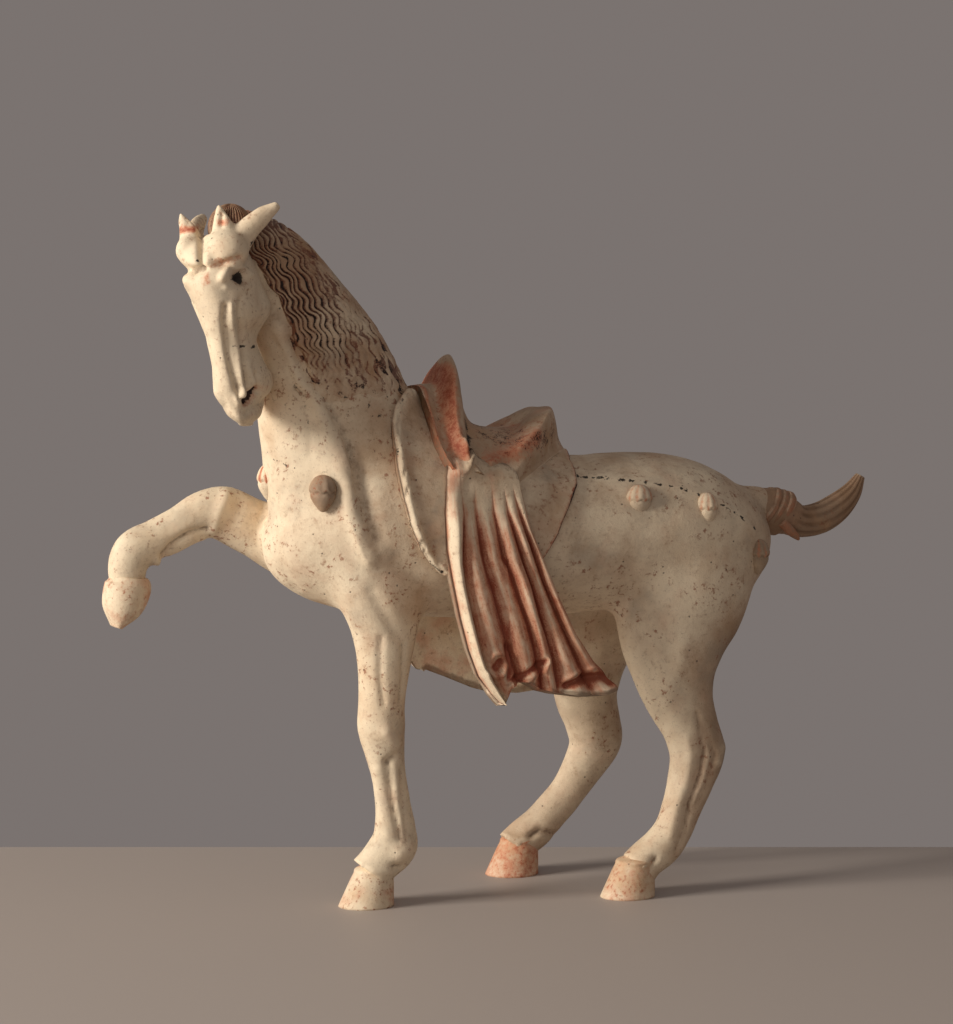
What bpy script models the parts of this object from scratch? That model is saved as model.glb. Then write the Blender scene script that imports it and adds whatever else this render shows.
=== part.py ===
"""Pottery horse: a prancing horse in moulded earthenware, with a cloth gathered over its saddle, a combed
mane and a bound tail. Everything on it was fired in one piece, so it is one solid.

Axes: the horse faces -X, its left side is -Y, +Z is up. The origin is the bottom centre of its box.
Stations and places on the figure are in millimetres on a horse FIGURE_MM tall, and follow HEIGHT."""

import math

import bmesh
import bpy
import numpy as np
from mathutils import Matrix, Vector

HEIGHT = 0.522              # soles to the tip of the near forelock
FIGURE_MM = 522.0           # the same height, in the units of the stations
MM = HEIGHT / FIGURE_MM

# Applied clay, in millimetres of the figure
BLANKET_THICK = 5.0         # saddle blanket over the barrel
BLANKET_RIM = 3.5           # raised rim round the blanket, over its thickness
COVER_THICK = 9.0           # saddle and its cover over the blanket
POMMEL_RISE = 46.0          # pommel over the seat, on the spine
CANTLE_RISE = 22.0          # cantle over the seat, on the spine
CLOTH_WALL = 10.0           # thickness of the hanging cloth
CLOTH_FOLDS = 6.5           # folds across the hanging cloth
FOLD_DEPTH = 9.0            # depth of a fold at the hem
MANE_THICK = 6.0            # how far the combed mane stands off the neck
LOCK_PITCH = 9.0            # spacing of the locks of the mane
LOCK_DEPTH = 3.5            # depth of the combed grooves between the locks
TAIL_COILS = 3              # turns of the ribbon round the tail
COIL_PITCH = 6.0            # spacing of those turns
PENDANT = (9.5, 13.5, 8.0)  # half width, half length and relief of a harness pendant
COIL_DROP = 1.2             # how much lower each turn of the ribbon lies than the one before
BLANKET_REACH = 112         # how far round the barrel the blanket comes down, in degrees from the spine
SADDLE_REACH = 58           # how far round the barrel the saddle comes down, in degrees from the spine
SUNK_BLANKET = 8.0          # how deep the underside of the blanket is pressed into the barrel
SUNK_SADDLE = 6.0           # how deep the underside of the saddle is pressed in
SUNK_MANE = 6.0             # how deep the underside of the mane is pressed into the neck
CLOTH_TOP = 330.0           # height of the knot, where the cloths start
CLOTH_LENGTH = 170.0        # how far the near cloth hangs down
FAR_CLOTH_DROP = 12.0       # how much further the far cloth hangs
HOOF_LEAN = 0.18            # how far a standing hoof leans back for each millimetre of height
SOLE_SINK = 3.0             # how far the hooves run on below the floor, before they are cut flat

# Fusing the clay, in millimetres of the figure
BODY_GRID = 3.2             # grid on which trunk, neck and limbs are fused
BLENDING = 30               # rounds of smoothing where limbs leave the trunk
CLAY_GRID = 2.3             # grid on which the applied clay is fused on
SMOOTHING = 2               # rounds of smoothing on the whole figure
TRIANGLES = 9600            # facets kept in the solid

# Stations: x, y, z of a ring's centre, its half depth along the limb's plane, its half width and its yaw
TRUNK = [
    (-147, 0, 300, 16, 14, 0), (-142, 0, 293, 36, 30, 0), (-132, 0, 287, 54, 45, 0),
    (-113, 0, 287, 67, 57, 0), (-84, 0, 291, 76, 64, 0), (-42, 0, 285, 73, 68, 0), (0, 0, 276, 66, 70, 0),
    (42, 0, 272, 62, 69, 0), (84, 0, 271, 60, 68, 0), (124, 0, 274, 59, 68, 0), (158, 0, 270, 58, 66, 0),
    (186, 0, 260, 53, 59, 0), (208, 0, 249, 43, 47, 0), (222, 0, 241, 29, 32, 0),
    (228, 0, 238, 10, 12, 0),
]
NECK = [
    (-82, 0, 262, 56, 50, 0), (-88, 0, 292, 66, 55, 0), (-98, 0, 326, 69, 51, 0),
    (-113, -3, 366, 60, 42, 5), (-129, -8, 408, 51, 34, 12), (-149, -14, 446, 40, 29, 20),
    (-168, -20, 472, 34, 26, 27), (-189, -26, 488, 26, 22, 32), (-204, -34, 493, 16, 17, 35),
]
FORE_STAND = [
    (-94, -26, 292, 46, 28, 0), (-89, -31, 262, 42, 27, 0), (-86, -35, 232, 34, 24, 0),
    (-84, -34, 205, 25.5, 20, 0), (-84, -32, 180, 20, 17.5, 0), (-85, -30, 156, 17.5, 16, 0),
    (-85, -28, 137, 18, 16.5, 0), (-82, -26, 118, 15, 13.5, 0), (-78, -24, 98, 13, 11.5, 0),
    (-74, -22, 76, 13.5, 11.5, 0), (-72, -20, 56, 16, 13, 0), (-73, -18, 43, 18.5, 14, 0),
    (-84, -17, 31, 16, 14, 0), (-90, -16, 24, 17, 15, 0),
]
FORE_LIFT = [
    (-92, 26, 280, 44, 26, 0), (-114, 33, 268, 37, 26, 0), (-140, 40, 270, 28, 21, 0),
    (-161, 45, 280, 22.5, 17.5, 0), (-181, 47, 290, 21.5, 17, 0), (-199, 48, 290, 18, 15.5, 0),
    (-218, 48, 281, 16, 13.5, 0), (-237, 48, 273, 15, 12.5, 0), (-251, 48, 266, 15.5, 13, 0),
    (-257, 48, 254, 14.5, 13, 0), (-257, 48, 243, 13.5, 12.5, 0),
]
LIFT_HOOF = [
    (-256, 48, 246, 14, 14, 0), (-257, 48, 238, 17.5, 17, 0), (-262, 48, 222, 14.5, 17, 0),
    (-266, 48, 209, 4, 10, 0),
]
HIND_NEAR = [
    (152, -18, 292, 48, 36, 0), (158, -25, 262, 57, 38, 0), (154, -31, 230, 57, 36, 0),
    (145, -38, 199, 48, 30, 0), (143, -43, 170, 34.5, 24, 0), (147, -46, 146, 26.5, 19, 0),
    (155, -48, 125, 22, 16.5, 0), (160, -49, 106, 22, 15, 0), (155, -50, 87, 19, 13, 0),
    (148, -50, 67, 16, 11.5, 0), (141, -50, 49, 15, 12, 0), (131, -50, 36, 15.5, 14, 0),
    (118, -50, 27, 15, 14.5, 0), (111, -50, 20, 16.5, 15, 0),
]
HIND_FAR = [
    (134, 16, 290, 48, 36, 0), (134, 24, 258, 53, 38, 0), (124, 33, 228, 52, 35, 0),
    (113, 40, 196, 42, 30, 0), (109, 46, 166, 31, 24, 0), (110, 51, 140, 26, 19, 0),
    (116, 54, 119, 22.5, 16.5, 0), (119, 56, 100, 21, 15, 0), (109, 57, 81, 17, 13, 0),
    (97, 58, 63, 14.5, 11.5, 0), (83, 59, 47, 14.5, 12, 0), (71, 60, 35, 15, 13.5, 0),
    (59, 60, 26, 15, 14, 0), (53, 60, 20, 16.5, 15, 0),
]
TAIL = [
    (190, 0, 286, 18, 16, 0), (208, 0, 288, 17, 16, 0), (228, 0, 287, 16, 15.5, 0),
    (238, 0, 284, 18, 17, 0), (250, 0, 281, 18, 17, 0), (257, 0, 278, 14.5, 13.5, 0),
    (268, 0, 274, 12.5, 12, 0), (284, 0, 276, 12.5, 11.5, 0), (299, 0, 284, 11.5, 9.5, 0),
    (311, 0, 295, 8.5, 7, 0), (319, 0, 308, 4, 3.5, 0),
]
# Ridge down the side of the neck, from the jaw to the forearm
NECK_RIDGE = [
    (-152, -30, 436, 3, 3, 0), (-148, -34, 420, 4.5, 5, 0), (-137, -39, 380, 6, 6.5, 0),
    (-123, -48, 322, 6, 7, 0), (-106, -57, 285, 6, 6, 0), (-92, -52, 245, 4, 4, 0),
]
# Head: level rings that face the way the head does, each x, y, z, half depth and half width
HEAD_YAW = 49.0             # how far the head is turned to its left
HEAD = [
    (-214, -47, 500, 18, 15), (-216, -50, 490, 28, 21), (-215, -51, 478, 34, 25),
    (-212, -51, 464, 38, 26.5), (-208, -52, 442, 38, 24), (-206, -52, 425, 31, 18.5),
    (-203, -51, 407, 30, 16.5), (-198, -46, 391, 34, 18), (-196, -45, 378, 30, 17),
    (-198, -50, 368, 20, 14), (-199, -52, 361, 9, 8),
]
# Lumps pressed on the head: how far ahead and to the left, z, and their radii; pairs are on both sides
PAIRED_LUMPS = [(25, 13, 470, 9, 8, 7), (-14, 13, 446, 20, 12, 22), (22, 8, 386, 10, 6, 9)]
SINGLE_LUMPS = [(14, 15, 489, 15, 17, 15), (15, -13, 487, 13, 12, 13.5), (-28, 0, 392, 10, 9, 9)]
# Ears: how far ahead and to the left, then rows of height from EAR_Z, half depth and half width
EAR_Z = 507
EAR_PLACES = [(16, -19), (16, 10)]
EAR = [(-12, 6, 7.5), (-2, 5, 6.6), (5, 3.8, 4.6), (11, 2.4, 2.6), (15, 1, 1)]
# Forelock, parted into two swept rolls
NEAR_LOCK = [
    (-206, -68, 493, 11, 9, 0), (-198, -70, 503, 9, 7.5, 0), (-187, -73, 513, 7, 5.5, 0),
    (-176, -75, 521, 3.5, 3.5, 0),
]
FAR_LOCK = [
    (-228, -34, 492, 9, 8, 0), (-222, -24, 502, 8, 7, 0), (-216, -14, 508, 6, 5, 0),
    (-210, -6, 512, 3, 3, 0),
]
# Hooves: centres on the floor, then rows of z, half length and half width
SOLES = [(-93, -15), (103, -50), (51, 60)]
HOOF = [(34, 12, 12), (29, 17.5, 16), (23, 17, 15.5), (0, 21, 19), (-SOLE_SINK, 21, 19)]
# Ribbon round the tail: x and z of its first turn, then rows of how far along, z, half depth and half width
RIBBON_START = (238, 284.5)
RIBBON = [(-3, 1, 17.5, 16.5), (0, 0, 19.5, 18.5), (3, -1, 17.5, 16.5)]
# Pendants of the crupper on each side: x, degrees from the spine and heading
CRUPPER_PENDANTS = [(108, 60, 0), (163, 68, 14), (208, 84, 42)]
PENDANT_SINK = 2.0          # how far a crupper pendant's middle lies under the barrel's skin
BREAST_PENDANT = (-134, -46, 312)
BREAST_PENDANT_HEADING = 45
MIDDLE_PENDANT = (-158, 8, 318)
# Blanket: x of its front and rear edges against how far down the flank they are, as a share of its reach
BLANKET_FRONT = ([0, 0.2, 0.4, 0.75, 0.92, 1], [-60, -73, -80, -77, -68, -54])
BLANKET_REAR = ([0, 0.3, 0.6, 0.85, 1], [76, 70, 55, 40, 26])
# Hanging cloth: x of its two edges against how far down it hangs, as a share of its length
CLOTH_LEFT = ([0, 0.2, 0.37, 0.54, 0.72, 0.87, 1], [-46, -51, -52, -48, -41, -31, -14])
CLOTH_RIGHT = ([0, 0.12, 0.32, 0.48, 0.66, 0.86, 1], [9, 14, 22, 33, 47, 62, 76])
KNOT = (-18, 68, 330)
KNOT_RADII = (28, 11, 9)


def catmull(stations, steps):
    """Rows on a smooth curve through the stations, with so many steps to each gap."""
    p = np.asarray(stations, float)
    p = np.vstack([2 * p[0] - p[1], p, 2 * p[-1] - p[-2]])
    t = np.linspace(0, 1, steps, endpoint=False)[:, None]
    rows = []
    for a, b, c, d in zip(p[:-3], p[1:-2], p[2:-1], p[3:]):
        square = (2 * a - 5 * b + 4 * c - d) * t**2
        cube = (3 * b - a - 3 * c + d) * t**3
        rows.append(0.5 * (2 * b + (c - a) * t + square + cube))
    return np.vstack(rows + [p[-2:-1]])


def limb(stations, steps=4, around=28):
    """Elliptical rings along a limb: angle 0 is its upper or rear side, and a quarter turn is its left."""
    s = catmull(stations, steps)
    centre = s[:, :3]
    along = np.gradient(centre, axis=0)
    yaw = np.radians(s[:, 5])
    side = np.stack([np.sin(yaw), -np.cos(yaw), 0 * yaw], 1)
    along -= (along * side).sum(1)[:, None] * side
    along /= np.linalg.norm(along, axis=1)[:, None]
    up = np.cross(along, side)
    a = np.linspace(0, 2 * math.pi, around, endpoint=False)
    depth = s[:, 3, None, None] * np.cos(a)[None, :, None] * up[:, None]
    width = s[:, 4, None, None] * np.sin(a)[None, :, None] * side[:, None]
    return centre[:, None] + depth + width


def level_rings(stations, yaw_degrees, steps=4, around=28):
    """Level elliptical rings of one heading: x, y, z, half depth and half width."""
    s = catmull(stations, steps)
    yaw = math.radians(yaw_degrees)
    front = np.array([-math.cos(yaw), -math.sin(yaw), 0])
    left = np.array([math.sin(yaw), -math.cos(yaw), 0])
    a = np.linspace(0, 2 * math.pi, around, endpoint=False)
    depth = s[:, 3, None, None] * np.cos(a)[None, :, None] * front
    width = s[:, 4, None, None] * np.sin(a)[None, :, None] * left
    return s[:, None, :3] + depth + width


def add_rings(clay, rings):
    """Skins a stack of rings and closes both ends."""
    grid = [[clay.verts.new(p * MM) for p in ring] for ring in rings]
    for low, high in zip(grid[:-1], grid[1:]):
        for k in range(len(low)):
            clay.faces.new((low[k - 1], low[k], high[k], high[k - 1]))
    clay.faces.new(grid[0])
    clay.faces.new(reversed(grid[-1]))


def add_slab(clay, outer, inner):
    """A slab between two grids of points of the same size."""
    add_rings(clay, [np.vstack([top, bottom[::-1]]) for top, bottom in zip(outer, inner)])


def add_ball(clay, centre, radii, heading=0.0):
    """An ellipsoid: its first radius points along its heading, its second to the side and its third up."""
    turn = Matrix.Rotation(math.radians(heading), 4, "Z")
    place = Matrix.Translation(Vector(centre) * MM) @ turn @ Matrix.Diagonal((*(r * MM for r in radii), 1))
    bmesh.ops.create_uvsphere(clay, u_segments=20, v_segments=12, radius=1, matrix=place)


def head_point(ahead, left, z):
    """A place on the head, so far ahead of and to the left of the middle line of its rings."""
    rows = np.asarray(HEAD, float)[::-1]
    x, y = (np.interp(z, rows[:, 2], rows[:, k]) for k in (0, 1))
    yaw = math.radians(HEAD_YAW)
    return (
        x - ahead * math.cos(yaw) + left * math.sin(yaw),
        y - ahead * math.sin(yaw) - left * math.cos(yaw),
        z,
    )


def barrel(x, angle, proud):
    """Points standing proud of the barrel at x: angle 0 is the spine, a quarter turn the left flank."""
    s = np.asarray(TRUNK, float)
    height = np.interp(x, s[:, 0], s[:, 3]) + proud
    width = np.interp(x, s[:, 0], s[:, 4]) + proud
    z = np.interp(x, s[:, 0], s[:, 2]) + height * np.cos(angle)
    return np.stack([x + 0 * z, -width * np.sin(angle), z], -1)


def add_blanket(clay, side):
    """Saddle blanket on one flank: an upright front edge, a sloping rear edge and a raised rim."""
    v, u = np.meshgrid(np.linspace(0, 1, 25), np.linspace(0, 1, 29), indexing="ij")
    front = np.interp(v, *BLANKET_FRONT)
    rear = np.interp(v, *BLANKET_REAR)
    x = front + (rear - front) * u
    angle = side * np.radians(BLANKET_REACH) * v
    edge = np.minimum(np.minimum(u * (rear - front), (1 - u) * (rear - front)), (1 - v) * 110)
    proud = BLANKET_THICK + BLANKET_RIM * np.exp(-(((edge - 5) / 4) ** 2))
    add_slab(clay, barrel(x, angle, proud), barrel(x, angle, -SUNK_BLANKET + 0 * proud))


def add_saddle(clay, side):
    """Saddle under its cover: pommel, low seat and cantle, drawn together at a knot on the flank."""
    v, u = np.meshgrid(np.linspace(0, 1, 25), np.linspace(0, 1, 41), indexing="ij")
    front = -37 - 8 * v**2
    rear = 71 - 61 * v**0.8
    x = front + (rear - front) * u
    angle = side * np.radians(SADDLE_REACH) * v
    pommel = POMMEL_RISE * np.exp(-(((u - 0.13) / 0.085) ** 2)) * (1 - v**1.6)
    cantle = CANTLE_RISE * np.exp(-(((u - 0.91) / 0.06) ** 2)) * (1 - v**1.5)
    proud = BLANKET_THICK + COVER_THICK + pommel + cantle
    add_slab(clay, barrel(x, angle, proud), barrel(x, angle, -SUNK_SADDLE + 0 * proud))


def add_cloth(clay, side, drop):
    """Cloth hanging from the knot: it fans out down to its hem in rounded folds."""
    v, u = np.meshgrid(np.linspace(0, 1, 31), np.linspace(0, 1, 53), indexing="ij")
    left = np.interp(v, *CLOTH_LEFT)
    right = np.interp(v, *CLOTH_RIGHT)
    x = left + (right - left) * u
    z = CLOTH_TOP - (CLOTH_LENGTH + drop - 5 * u) * v
    fold = FOLD_DEPTH * (0.35 + 0.65 * v) * np.abs(np.sin(np.pi * CLOTH_FOLDS * u)) ** 0.7
    y = 58 + 22 * np.minimum(v / 0.35, 1) ** 0.7 + 5 * v
    outer = np.stack([x, -side * (y + fold), z], -1)
    inner = np.stack([x, -side * (y - CLOTH_WALL * (1.8 - 0.8 * v)), z], -1)
    add_slab(clay, outer, inner)
    x, y, z = KNOT
    add_ball(clay, (x, -side * y, z), KNOT_RADII)


def add_mane(clay):
    """Mane combed down the near side of the neck: wavy locks with grooves between them."""
    rings = limb(NECK, 14, 120)
    rings = rings[int(0.34 * len(rings)):-5]
    ring = np.concatenate([rings[:, -6:], rings[:, :34]], 1)
    out = ring - rings.mean(1)[:, None]
    out /= np.linalg.norm(out, axis=2)[..., None]
    along = np.linspace(0, 1, ring.shape[0])[:, None]
    across = np.linspace(0, 1, ring.shape[1])[None]
    x, z = ring[..., 0], ring[..., 2]
    phase = 2 * math.pi * (x + 0.16 * z) / LOCK_PITCH + 0.9 * np.sin(2 * math.pi * z / 19)
    fade = np.sin(np.pi * np.clip(across, 0.03, 0.97)) ** 0.4 * np.clip(along / 0.25, 0, 1)
    proud = (MANE_THICK - LOCK_DEPTH * (0.5 + 0.5 * np.cos(phase))) * fade
    add_slab(clay, ring + out * proud[..., None], ring - out * SUNK_MANE)


def add_head_details(clay):
    """Brows, cheeks, nostrils, chin, ears, and the forelock parted into two swept rolls."""
    lumps = [(ahead, left * side, *rest) for side in (-1, 1) for ahead, left, *rest in PAIRED_LUMPS]
    for ahead, left, z, *radii in lumps + SINGLE_LUMPS:
        add_ball(clay, head_point(ahead, left, z), radii, HEAD_YAW)
    for ahead, left in EAR_PLACES:
        x, y, z = head_point(ahead, left, EAR_Z)
        ear = [(x, y, z + up, deep, wide) for up, deep, wide in EAR]
        add_rings(clay, level_rings(ear, HEAD_YAW, 3, 14))
    for lock in (NEAR_LOCK, FAR_LOCK):
        add_rings(clay, limb(lock, 3, 16))


def add_hooves(clay):
    """The hoof of the lifted leg, and those of the three legs that stand."""
    add_rings(clay, limb(LIFT_HOOF))
    for x, y in SOLES:
        hoof = [(x + HOOF_LEAN * max(z, 0), y, z, length, width) for z, length, width in HOOF]
        add_rings(clay, level_rings(hoof, 0, 3))


def add_tail_ribbon(clay):
    """Turns of ribbon round the tail, side by side."""
    for k in range(TAIL_COILS):
        x, z = RIBBON_START[0] + COIL_PITCH * k, RIBBON_START[1] - COIL_DROP * k
        coil = [(x + along, 0, z + up, deep, wide, 0) for along, up, deep, wide in RIBBON]
        add_rings(clay, limb(coil, 3, 24))


def add_pendants(clay):
    """Bud-shaped pendants on the breast strap and the crupper, on both sides."""
    wide, tall, relief = PENDANT
    for side in (-1, 1):
        for station, degrees, heading in CRUPPER_PENDANTS:
            x, y, z = barrel(station, math.radians(degrees), -PENDANT_SINK)
            add_ball(clay, (x, side * y, z), (wide, relief, tall), side * heading)
        x, y, z = BREAST_PENDANT
        add_ball(clay, (x, side * y, z), (relief, wide, tall), side * BREAST_PENDANT_HEADING)
    add_ball(clay, MIDDLE_PENDANT, (relief, wide, tall))


def to_mesh(name, clay):
    bmesh.ops.recalc_face_normals(clay, faces=clay.faces)
    mesh = bpy.data.meshes.new(name)
    clay.to_mesh(mesh)
    clay.free()
    return mesh


def body_clay():
    """Trunk, neck, head and limbs as they are pressed in their moulds."""
    clay = bmesh.new()
    add_rings(clay, limb(TRUNK, 4, 36))
    add_rings(clay, limb(NECK, 5, 32))
    add_rings(clay, level_rings(HEAD, HEAD_YAW))
    for stations in (FORE_STAND, FORE_LIFT, HIND_NEAR, HIND_FAR, TAIL):
        add_rings(clay, limb(stations))
    return to_mesh("body_clay", clay)


def applied_clay(body):
    """The blended body with everything that is laid on it."""
    clay = bmesh.new()
    clay.from_mesh(body)
    add_head_details(clay)
    add_rings(clay, limb(NECK_RIDGE, 5, 16))
    add_mane(clay)
    add_hooves(clay)
    add_tail_ribbon(clay)
    add_pendants(clay)
    for side in (-1, 1):
        add_blanket(clay, side)
        add_saddle(clay, side)
    add_cloth(clay, 1, 0)
    add_cloth(clay, -1, FAR_CLOTH_DROP)
    return to_mesh("applied_clay", clay)


def fuse(mesh, grid, rounds, blend_from=None):
    """One skin round overlapping shells, smoothed all over or only on the trunk, above the legs."""
    obj = bpy.data.objects.new("fused", mesh)
    bpy.context.scene.collection.objects.link(obj)
    remesh = obj.modifiers.new("fuse", "REMESH")
    remesh.mode = "VOXEL"
    remesh.voxel_size = grid * MM
    skin = evaluated_mesh(obj)
    obj.modifiers.clear()
    obj.data = skin
    smooth = obj.modifiers.new("smooth", "SMOOTH")
    smooth.factor = 0.5
    smooth.iterations = rounds
    if blend_from is not None:
        group = obj.vertex_groups.new(name="blend")
        for vert in skin.vertices:
            x, z = vert.co.x / MM, vert.co.z / MM
            above = min(1, max(0, (z - blend_from) / 40))
            behind_head = min(1, max(0, (x + 185) / 30))
            before_tail = min(1, max(0, (232 - x) / 20))
            weight = above * behind_head * before_tail
            group.add([vert.index], weight, "REPLACE")
        smooth.vertex_group = group.name
    smoothed = evaluated_mesh(obj)
    bpy.data.objects.remove(obj)
    return smoothed


def evaluated_mesh(obj):
    """A mesh of the object with its modifiers applied."""
    bpy.context.view_layer.update()
    return bpy.data.meshes.new_from_object(obj.evaluated_get(bpy.context.evaluated_depsgraph_get()))


def keep_largest_shell(mesh):
    """Removes the linings of closed pockets, so that one skin is left."""
    bm = bmesh.new()
    bm.from_mesh(mesh)
    left = set(bm.verts)
    shells = []
    while left:
        seed = left.pop()
        shell, stack = [seed], [seed]
        while stack:
            for edge in stack.pop().link_edges:
                for vert in edge.verts:
                    if vert in left:
                        left.remove(vert)
                        shell.append(vert)
                        stack.append(vert)
        shells.append(shell)
    shells.sort(key=len)
    for shell in shells[:-1]:
        bmesh.ops.delete(bm, geom=shell, context="VERTS")
    bm.to_mesh(mesh)
    bm.free()


def earthenware():
    """Fired buff clay under a cream slip."""
    material = bpy.data.materials.new("earthenware")
    material.use_nodes = True
    shader = material.node_tree.nodes["Principled BSDF"]
    shader.inputs["Base Color"].default_value = (0.62, 0.52, 0.40, 1)
    shader.inputs["Roughness"].default_value = 0.8
    shader.inputs["Metallic"].default_value = 0
    return material


def floor_cutter(group):
    """A block whose top is the floor: it cuts the soles flat."""
    bpy.ops.mesh.primitive_cube_add(size=1, location=(0, 0, -HEIGHT / 4))
    floor = bpy.context.object
    floor.name = "floor_cut"
    floor.scale = (2 * HEIGHT, 2 * HEIGHT, HEIGHT / 2)
    for old in list(floor.users_collection):
        old.objects.unlink(floor)
    group.objects.link(floor)
    floor.hide_render = True
    floor.display_type = "WIRE"
    return floor


def main():
    for obj in list(bpy.data.objects):
        bpy.data.objects.remove(obj)
    horse_parts = bpy.data.collections.new("pottery_horse")
    cutters = bpy.data.collections.new("cutters")
    for group in (horse_parts, cutters):
        bpy.context.scene.collection.children.link(group)

    body = fuse(body_clay(), BODY_GRID, BLENDING, blend_from=170)
    figure = fuse(applied_clay(body), CLAY_GRID, SMOOTHING)
    keep_largest_shell(figure)

    horse = bpy.data.objects.new("horse", figure)
    points = np.array([v.co for v in figure.vertices])
    horse.location = (*(-(points.min(0) + points.max(0)) / 2)[:2], 0)
    horse_parts.objects.link(horse)
    horse.data.materials.append(earthenware())
    thin = horse.modifiers.new("facets", "DECIMATE")
    thin.ratio = TRIANGLES / (2 * len(figure.polygons))
    cut = horse.modifiers.new("flat_soles", "BOOLEAN")
    cut.operation = "DIFFERENCE"
    cut.solver = "EXACT"
    cut.object = floor_cutter(cutters)


main()
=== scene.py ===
# Prancing pottery horse in painted earthenware: its looks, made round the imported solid.
# Places and sizes are in millimetres of the figure; toWorld turns them into metres of the frame.
import math

import bpy
import numpy as np
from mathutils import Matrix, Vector
from mathutils.bvhtree import BVHTree


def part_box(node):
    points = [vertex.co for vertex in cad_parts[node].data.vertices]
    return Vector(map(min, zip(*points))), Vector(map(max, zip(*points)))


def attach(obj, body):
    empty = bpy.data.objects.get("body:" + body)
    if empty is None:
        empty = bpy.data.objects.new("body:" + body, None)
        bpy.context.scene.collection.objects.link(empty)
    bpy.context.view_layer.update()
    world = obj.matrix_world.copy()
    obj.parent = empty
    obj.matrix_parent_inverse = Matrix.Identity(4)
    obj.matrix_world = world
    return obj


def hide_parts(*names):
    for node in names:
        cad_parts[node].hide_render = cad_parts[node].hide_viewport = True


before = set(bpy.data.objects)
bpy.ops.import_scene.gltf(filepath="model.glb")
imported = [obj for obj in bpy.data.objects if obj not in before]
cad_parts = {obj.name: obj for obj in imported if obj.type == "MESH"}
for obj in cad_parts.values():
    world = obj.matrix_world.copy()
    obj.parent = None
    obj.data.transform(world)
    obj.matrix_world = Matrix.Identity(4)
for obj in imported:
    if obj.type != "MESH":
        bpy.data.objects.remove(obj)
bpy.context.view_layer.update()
boxLow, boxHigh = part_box("horse")

figure = {"height": 522.8, "noseToOrigin": 275.8, "leftToOrigin": 93.0}
mm = (boxHigh.z - boxLow.z) / figure["height"]
origin = np.array([boxLow.x + figure["noseToOrigin"] * mm, boxLow.y + figure["leftToOrigin"] * mm, 0])


def toWorld(points):
    return np.asarray(points, float) * mm + origin


# Small tools for numbers and curves

lattice = 128
shortestLine = 1e-6


def ease(low, high, value):
    # 0 below low, 1 above high, and a smooth step between
    t = np.clip((value - low) / (high - low), 0, 1)
    return t * t * (3 - 2 * t)


def bell(distance, width):
    return np.exp(-(distance / width) ** 2)


def onLine(place, line):
    # The value at a place, on a line given as pairs of place and value
    return np.interp(place, *np.array(line, float).T)


def turns(count):
    # Angles in equal steps round a full turn
    return np.linspace(0, 2 * math.pi, count, endpoint=False)


def uvGrid(fromV, rows, columns):
    # v down the rows, from fromV to 1, and u along the columns, from 0 to 1
    return np.meshgrid(np.linspace(fromV, 1, rows), np.linspace(0, 1, columns), indexing="ij")


def smoothRows(stations, steps):
    # Catmull-Rom curve through the rows, with so many steps to each gap
    p = np.asarray(stations, float)
    p = np.vstack([2 * p[0] - p[1], p, 2 * p[-1] - p[-2]])
    t = np.linspace(0, 1, steps, endpoint=False)[:, None]
    rows = []
    for a, b, c, d in zip(p[:-3], p[1:-2], p[2:-1], p[3:]):
        curve = 2 * b + (c - a) * t + (2 * a - 5 * b + 4 * c - d) * t**2 + (3 * b - a - 3 * c + d) * t**3
        rows.append(0.5 * curve)
    return np.vstack(rows + [p[-2:-1]])


def lineDistance(points, line):
    # Distance of each plane point from a polyline; a single point counts as a line of hardly any length
    nearest = np.full(len(points), np.inf)
    line = np.array(line if len(line) > 1 else list(line) * 2, float)
    line[1:, 1] += shortestLine
    for a, b in zip(line[:-1], line[1:]):
        along = np.clip((points - a) @ (b - a) / ((b - a) @ (b - a)), 0, 1)
        nearest = np.minimum(nearest, np.linalg.norm(points - a - along[:, None] * (b - a), axis=1))
    return nearest


def speckled(x, y, size, seed):
    # Value noise from 0 to 1: random heights on a square lattice, eased between its corners
    table = np.random.default_rng(seed).random((lattice, lattice))
    x, y = np.asarray(x) / size, np.asarray(y) / size
    i, j = np.floor(x).astype(int), np.floor(y).astype(int)
    s, t = ease(0, 1, x - i), ease(0, 1, y - j)
    corners = [table[(i + a) % lattice, (j + b) % lattice] for a in (0, 1) for b in (0, 1)]
    return (corners[0] * (1 - t) + corners[1] * t) * (1 - s) + (corners[2] * (1 - t) + corners[3] * t) * s


def carving(places, strokes):
    # Sum of rounded ridges, or grooves where the height is negative: each stroke is a line, a height and a width
    flat = places.reshape(-1, 2)
    total = sum(height * bell(lineDistance(flat, line), width) for line, height, width in strokes)
    return total.reshape(places.shape[:-1])


# Ring shapes: a row of closed rings that a skin joins

def ovals(rows, deepWay, wideWay, around):
    # A ring round the centre of each row: depth * cos(a) * deepWay + width * sin(a) * wideWay
    a = turns(around)
    deep = rows[:, 3, None, None] * np.cos(a)[None, :, None] * deepWay
    wide = rows[:, 4, None, None] * np.sin(a)[None, :, None] * wideWay
    return rows[:, None, :3] + deep + wide


def headingWays(degrees):
    # Level directions ahead and to the left: heading 0 looks along -X, and it turns towards -Y
    heading = math.radians(degrees)
    ahead = np.array([-math.cos(heading), -math.sin(heading), 0])
    return ahead, np.array([math.sin(heading), -math.cos(heading), 0])


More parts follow.
